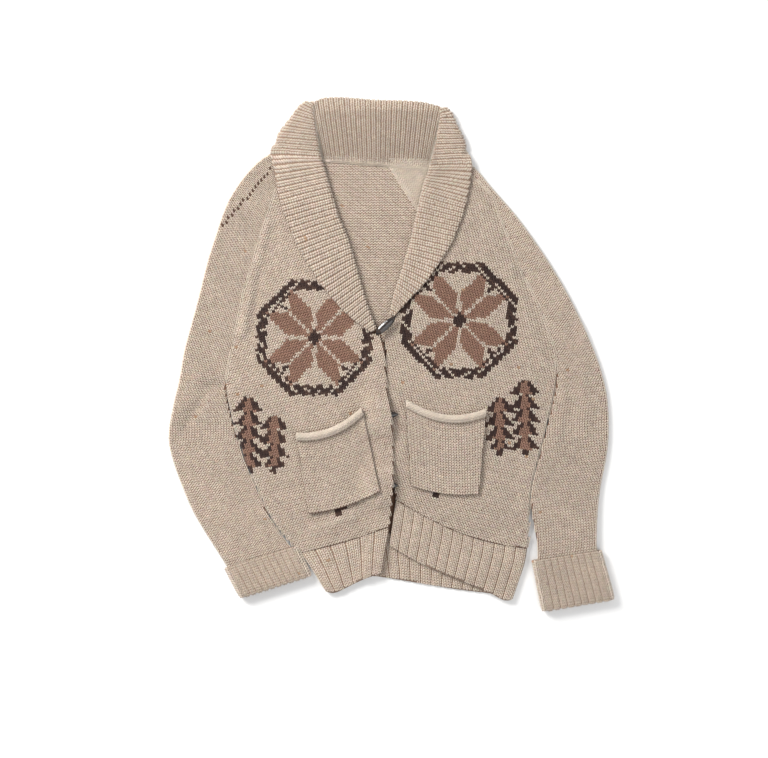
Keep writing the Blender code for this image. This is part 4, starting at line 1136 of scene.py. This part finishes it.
def knit_front(name, hand, lattice, outline, side, welt, height, middle):
    """Stitches on the plan lattice within the outline, draped over the height of the cloth."""
    sites = lattice.sites(FRONT_REACH, FRONT_LENGTH)
    xy = lattice.at(*sites.T)
    welt_line = joined(plan(welt))
    low = xy[:, 1] > np.interp(xy[:, 0], *welt_line.T) + SKIN
    keep = low & (inside(xy, outline) | (away_from(xy, side) < EDGE_OVER))
    sites, xy = sites[keep], xy[keep]

    def read(across, along):
        spot = lattice.at(across, along)
        within = inside(spot.reshape(-1, 2), outline).reshape(spot.shape[:-1])
        sink = curled(np.where(within, 1, -1) * away_from(spot, side), HALF_GAP)
        z = height(spot[..., 0], spot[..., 1]) - sink
        return np.concatenate([spot, z[..., None]], -1), slope_normals(height, spot)

    colours = marl(len(sites)) * (TONES[charted(xy, middle, hand)] / OATMEAL)
    return knit(name, read, sites, KNIT_LEGS, WALE, ROW, colours)


def motif_gap_shade(grid, middle, hand):
    """The shell's colours: the motif's own tones, darkened with painted shade as the gaps between stitches
    show it.
    """
    tone = charted(grid[:, :, :2].reshape(-1, 2), middle, hand)
    return TONES[tone] * (GAP_SHADE_COLOUR / OATMEAL)


right_outline = outline_of((RIGHT_RAGLAN, 1), (RIGHT_SIDE, 1), (RIGHT_WELT_TOP, 1), (RIGHT_FRONT_EDGE, -1),
                           (RIGHT_NECK, -1))
left_outline = outline_of((LEFT_RAGLAN, 1), (LEFT_SIDE, 1), (LEFT_WELT_TOP, -1), (LEFT_FRONT_EDGE, -1),
                          (LEFT_NECK, -1))
right_side = beside(joined(plan(RIGHT_SIDE)), SEAM)
left_side = beside(joined(plan(LEFT_SIDE)), -SEAM)
right_lattice = Lattice((-0.205, 0.300), ((0.30, 13), (0.05, 14), (-0.15, 12), (-0.30, 16)), FRONT_LENGTH)
left_lattice = Lattice((0.150, 0.300), ((0.30, -10), (0.05, -9), (-0.15, -10), (-0.30, -17)), FRONT_LENGTH)
front_right = shell("front_right_cloth", right_front, "wool", "front_right",
                    colours=motif_gap_shade(right_front, STAR_RIGHT, 1))
front_left = shell("front_left_cloth", left_front, "wool", "front_left",
                   colours=motif_gap_shade(left_front, STAR_LEFT, -1))
front_right_knit = knit_front("front_right_stitches", 1, right_lattice, right_outline, right_side,
                              RIGHT_WELT_TOP, right_front_height, STAR_RIGHT)
front_left_knit = knit_front("front_left_stitches", -1, left_lattice, left_outline, left_side,
                             LEFT_WELT_TOP, top_height, STAR_LEFT)

# %% [markdown]
# ## The sleeves
# A sleeve is a flattened tube whose wales run along its outer fold. Its surface is read by length
# along the fold and round it, so stitches turn over the fold to the underside as on the real one.

# %% Sleeves
LADDER = plan(((-184, 278), (-255, 193)))  # dark marks on every other row of one wale
LADDER_HALF, LADDER_TINT = 0.0024, [0.16, 0.10, 0.08]
FIRST_WALE = 0.0012  # from the fold to the middle of the wale beside it
UNDER_WALES, OVER_WALES = 4, 40
SEAM_MARGIN = 0.0006


def knit_sleeve(name, grid):
    """Stitches from four wales under the outer fold to the seam, read round the fold."""
    surface = Surface(grid, SLEEVE_FOLD)
    sites = site_grid(np.arange(-UNDER_WALES, OVER_WALES), np.arange(1, int(surface.down[-1] / ROW)))
    sites += [FIRST_WALE, 0]
    sites = sites[sites[:, 0] < -surface.sides(sites[:, 1])[0] - SEAM_MARGIN]

    def read(across, along):
        return surface.at(surface.lines(along), -across)

    spots, normals = read(*sites.T)
    ladder = (away_from(spots[:, :2], LADDER) < LADDER_HALF) & (normals[:, 2] > 0.5)
    colours = marl(len(sites))
    colours[ladder & (np.round(sites[:, 1] / ROW) % 2 == 0)] *= LADDER_TINT
    return knit(name, read, sites, KNIT_LEGS, WALE, ROW, colours)


right_sleeve = shell("sleeve_right_cloth", sleeve_right, "wool", "sleeve_right")
left_sleeve = shell("sleeve_left_cloth", sleeve_left, "wool", "sleeve_left")
right_sleeve_knit = knit_sleeve("sleeve_right_stitches", sleeve_right)
left_sleeve_knit = knit_sleeve("sleeve_left_stitches", sleeve_left)

# %% [markdown]
# ## The back
# Through the neck opening the back and the left sleeve's lower layer show their wrong side: purl
# arcs in level rows. Only what can be seen gets stitches; the rest lies under the fronts.

# %% Back
BACK_OPENING = (
    (-124, 304), (-104, 250), (-80, 205), (-70, 160), (-52, 110), (-34, 60), (-14, 20), (6, 26), (20, 70),
    (40, 130), (70, 200), (38, 214), (-4, 284), (-6, 296))
SLEEVE_OPENING = ((-6, 296), (-2, 282), (43, 216), (72, 176), (110, 200), (90, 296))
OPENING_REACH = 0.14


def knit_opening(name, start, leans, opening, length, lift=STITCH_BED):
    """Purl stitches on the flat lower cloth, where it shows within a closed line."""
    lattice = Lattice(start, leans, length)
    sites = lattice.sites(OPENING_REACH, length)
    sites = sites[inside(lattice.at(*sites.T), plan(opening))]

    def read(across, along):
        spot = lattice.at(across, along)
        points = np.concatenate([spot, np.full(spot.shape[:-1] + (1,), TABLE)], -1)
        return points, np.broadcast_to([0.0, 0.0, 1.0], points.shape)

    return knit(name, read, sites, PURL_ARCS, WALE, ROW, marl(len(sites)), lift=lift)


back_cloth = shell("back_cloth", back, "wool", "back_panel")
back_knit = knit_opening("back_stitches", (-0.010, 0.300), ((0.30, 0), (0.0, 2)), BACK_OPENING, 0.30)
sleeve_inside_knit = knit_opening("sleeve_left_inside_stitches", (-0.040, 0.380), ((0.30, 38), (0.0, 38)),
                                  SLEEVE_OPENING, 0.34, lift=WALL / 2 + SKIN)

# %% [markdown]
# ## Rib: welts and cuffs
# In rib some knit wales stand up together and the purl between them sinks out of sight. The pieces
# are laid out by rib, so a wale follows one line of the grid from the join to the hem. The cloth's
# own wave carries the relief, and three wales of V's crowd together on each rib.

# %% Ribbed pieces
RIB_RISE = 0.0015
RIB_WALES, RIB_WALE = (0.19, 0.5, 0.81), 0.315  # places in a rib and width
FOLD_WALES, FOLD_WALE = (0.1, 0.5, 0.9), 0.38  # the same in the strip that turns over a cuff's fold
FOLD_WAVE = 0.05
HEM_MARGIN = 0.0008
WELT_COURSES, CUFF_COURSES, COLLAR_COURSES, SEAM_COURSES = 21, 26, 70, 160  # at most
WELT_START = -0.0015


def rib_wave(places, shape):
    """One rib for each whole number, a raised half with short flanks and a sunk half, on a grid."""
    phase = places % 1.0
    wave = RIB_RISE * (ease((0.5 - np.abs(phase - 0.5)) * 5 - 0.1) - 0.6)
    return np.broadcast_to(wave, shape)


def knit_rib(name, grid, ribs, relief, rows_down, wales, wide, row=ROW, first=0.0, tint=None):
    """grid is lines by points, and each line runs along a wale. wales are places in a rib, and wide
    is a wale's width as a share of a rib."""
    surface = Surface(grid, relief=relief)
    per = (len(grid) - 1) / ribs
    rib, course = np.meshgrid(np.arange(ribs), np.arange(rows_down), indexing="ij")
    along = first + (course.ravel() + 0.5) * row
    sites = np.concatenate([np.column_stack([(rib.ravel() + place) * per, along]) for place in wales])
    end = np.interp(sites[:, 0], np.arange(len(grid)), surface.high)
    sites = sites[sites[:, 1] < end - HEM_MARGIN]
    # tint is a colour factor by place; for the collar it paints shade on the stand
    shade = tint(surface.at(*sites.T)[0])[:, None] if tint else 1.0
    colours = marl(len(sites)) * shade
    return knit(f"{name}_ribs", surface.at, sites, KNIT_LEGS, wide * per, row, colours)


def welt(name, grid, ribs):
    """A welt's cloth, and its stitches, which start a little above the join."""
    wave = rib_wave(np.arange(grid.shape[1]) / STEPS, grid.shape[:2])
    body = shell(f"{name}_cloth", grid, "rib", name, relief=wave)
    lines = grid.transpose(1, 0, 2)
    return body, [knit_rib(name, lines, ribs, wave.T, WELT_COURSES, RIB_WALES, RIB_WALE, first=WELT_START)]


def cuff(name, grid, ribs):
    """A cuff's cloth, the stitches of its upper side, and those that turn over its two folds."""
    columns = grid.shape[1]
    flat = ribs * STEPS + 1
    turn = columns // 2 - flat
    places = np.tile(np.concatenate([np.arange(flat) / STEPS, np.full(turn, FOLD_WAVE)]), 2)
    wave = rib_wave(places, grid.shape[:2])
    body = shell(f"{name}_cloth", grid, "rib", name, relief=wave, around=True)
    lines = np.concatenate([grid, grid[:, :1]], axis=1)[::-1].transpose(1, 0, 2)
    stitches = [knit_rib(name, lines[:flat], ribs, wave[:, :flat].T, CUFF_COURSES, RIB_WALES, RIB_WALE)]
    for fold, strip in (("inner", lines[flat - 1:flat + turn + 1]), ("outer", lines[columns - turn - 1:])):
        stitches.append(knit_rib(f"{name}_{fold}_fold", strip, 1, 0.0, CUFF_COURSES, FOLD_WALES, FOLD_WALE))
    return body, stitches


welts = [welt("welt_right", welt_right, welt_right_ribs), welt("welt_left", welt_left, welt_left_ribs),
         welt("welt_back", welt_back, welt_back_ribs)]
cuffs = [cuff("cuff_right", cuff_right, cuff_right_ribs), cuff("cuff_left", cuff_left, cuff_left_ribs)]

# %% [markdown]
# ## The shawl collar
# One band of fine one-and-one rib: each wale starts at the neck seam, stands up, turns over at the
# roll line and falls to the free edge. The grid has four lines to each rib.

# %% Collar
COLLAR_RISE = 0.0013
COLLAR_ROW = 0.0037
COLLAR_WALE = 0.92
# The stand's area, where painted shade darkens the collar's yarn
STAND_SHADE_X, STAND_SHADE_Y = (-0.112, 0.070), (0.283, 0.372)


def stand_shade_tint(points):
    """Colour factor of the collar's yarn: 0.9 overall, with painted shade down to 0.7 on the stand, which
    lies in the roll's shadow.
    """
    x, y = points[:, 0], points[:, 1]
    stand = ease((y - STAND_SHADE_Y[0]) / 0.008) * ease((STAND_SHADE_Y[1] - y) / 0.010)
    stand = stand * ease((x - STAND_SHADE_X[0]) / 0.006) * ease((STAND_SHADE_X[1] - x) / 0.006)
    return 0.90 - 0.20 * stand


places = np.arange(len(collar)) / COLLAR_LINES
collar_wave = COLLAR_RISE * (0.5 - 0.5 * np.cos(2 * np.pi * places)) - COLLAR_RISE * 0.35
spread = np.linalg.norm(np.gradient(collar, axis=0), axis=2)  # no rib where the lines crowd together
collar_relief = collar_wave[:, None] * ease((spread - 0.0008) / 0.0010)
collar_cloth = shell("collar_cloth", collar, "rib", "collar", relief=collar_relief)
collar_knit = knit_rib("collar", collar, collar_ribs, collar_relief, COLLAR_COURSES, (0.5,), COLLAR_WALE,
                       row=COLLAR_ROW, tint=stand_shade_tint)

# %% [markdown]
# ## Seams
# Raglan seams on good knitwear are linked wale to wale, so a chain of V's runs down each one. A
# chain is a narrow ribbon of surface along the seam's line, knitted like any other.

# %% Seam chains
CHAIN_HALF = 0.0023
BACK_RAGLAN_SHOWS = 0.32  # share of the left back raglan that the collar and front leave open
NECK_LOW, NECK_SIDES = 0.276, (-0.112, 0.064)
NECK_BELOW = 0.0012  # the chain runs this far below the collar's edge
RAGLAN_LIFT, NECK_LIFT = 0.0006, 0.0010


def chain(name, line):
    """One wale along a line of points, on a ribbon that reaches CHAIN_HALF to both sides of it."""
    run = np.gradient(line[:, :2], axis=0)
    side = np.column_stack([-run[:, 1], run[:, 0], 0 * run[:, 0]])
    side = side / np.linalg.norm(run, axis=1)[:, None] * CHAIN_HALF
    return knit_rib(name, np.stack([line - side, line, line + side]), 1, 0.0, SEAM_COURSES, (0.5,), 1.0)


def seam_line(table, height, first=0.0, last=1.0, count=80):
    """Points along a table's line from one share of its length to another, at a height."""
    points = smooth_through(plan(table), np.linspace(first, last, count))
    x, y = points[:, 0], points[:, 1]
    return np.column_stack([points, height(x, y) if callable(height) else np.full(count, height)])


raglan_right_chain = chain("raglan_right_seam", seam_line(RIGHT_RAGLAN, right_front_height))
raglan_left_chain = chain("raglan_left_seam", seam_line(LEFT_RAGLAN, top_height))
raglan_back_chain = chain("raglan_back_seam", seam_line(LEFT_BACK_RAGLAN, TABLE + RAGLAN_LIFT,
                                                        last=BACK_RAGLAN_SHOWS))
neck = collar[:, 0]
neck = neck[(neck[:, 1] > NECK_LOW) & (neck[:, 0] > NECK_SIDES[0]) & (neck[:, 0] < NECK_SIDES[1])]
neck_seam = neck + [0, -NECK_BELOW, 0]
neck_seam[:, 2] = TABLE + NECK_LIFT
neck_chain = chain("back_neck_seam", neck_seam)

# %% [markdown]
# ## Pockets
# Each pocket is a patch of plain knit. Its top edge has rolled towards the viewer, as plain knit
# does, so the roll shows the wrong side.

# %% Pockets
POCKET_WALL = 0.003
POCKET_MIDDLE = POCKET_COLUMNS // 2
ROLL_ROW = 0.0031
ROLL_LIFT = 0.0012


def knit_patch(name, rows, sites, legs, row, past, short, lift=STITCH_BED):
    """Stitches on rows of a pocket's grid, up to a little past its sides and short of its end."""
    surface = Surface(rows, POCKET_MIDDLE)
    low, high = surface.sides(sites[:, 1])
    keep = (sites[:, 0] > low - past) & (sites[:, 0] < high + past) & (sites[:, 1] < surface.down[-1] - short)
    sites = sites[keep]
    return knit(name, lambda across, along: surface.at(surface.lines(along), across), sites, legs, WALE, row,
                marl(len(sites)), lift=lift)


def pocket(name, grid):
    """A pocket's cloth, its stitches, and the purl side of its rolled top."""
    body = shell(f"{name}_cloth", grid, "wool", name, wall=POCKET_WALL)
    sites = site_grid(np.arange(-14, 15), np.arange(1, 35))
    front = knit_patch(f"{name}_stitches", grid[ROLL_ROWS - 2:], sites, KNIT_LEGS, ROW, 0.0012, 0.0005)
    sites = site_grid(np.arange(-13, 14), np.arange(7) + 0.4, ROLL_ROW)
    roll = knit_patch(f"{name}_roll_stitches", grid[:ROLL_ROWS + 1], sites, PURL_ARCS, ROLL_ROW, 0.001, 0,
                      lift=ROLL_LIFT)
    return body, [front, roll]


pockets = [pocket("pocket_right", pocket_right), pocket("pocket_left", pocket_left)]

# %% [markdown]
# ## Toggles
# The frame's toggle solids have the right shape, so they stay, and get the horn material.

# %% Toggles
for toggle in ("toggle_top", "toggle_middle", "toggle_lower"):
    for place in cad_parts[toggle].material_slots:
        place.material = horn

# %% [markdown]
# ## Sizes of the cloth
# Each cloth piece's cut size and area are measured along its grid and printed.

# %% Cloth sizes
def flat_size(grid):
    """(width, length, area) of one layer, measured along the grid."""
    across = np.linalg.norm(np.diff(grid, axis=1), axis=2).sum(1)
    down = np.linalg.norm(np.diff(grid, axis=0), axis=2).sum(0)
    a = grid[1:, 1:] - grid[:-1, :-1]
    b = grid[1:, :-1] - grid[:-1, 1:]
    area = 0.5 * np.linalg.norm(np.cross(a, b), axis=2).sum()
    return float(across.max()), float(down.max()), float(area)


def declare(piece, grid):
    """Prints a cloth piece's cut size and area, measured along its grid."""
    width, length, area = flat_size(grid)
    area = float(np.clip(area, 0.3 * width * length, width * length))
    print(piece.name, "cut", round(width, 3), "by", round(length, 3), "m, area", round(area, 4))


declare(back_cloth, back)
declare(front_right, right_front)
declare(front_left, left_front)
declare(right_sleeve, sleeve_right)
declare(left_sleeve, sleeve_left)
for (body, stitches), grid in zip(welts, (welt_right, welt_left, welt_back)):
    declare(body, grid)
for (body, stitches), grid in zip(cuffs, (cuff_right, cuff_left)):
    declare(body, grid)
declare(collar_cloth, collar)
for (body, stitches), grid, front in zip(pockets, (pocket_right, pocket_left), (front_right, front_left)):
    declare(body, grid)
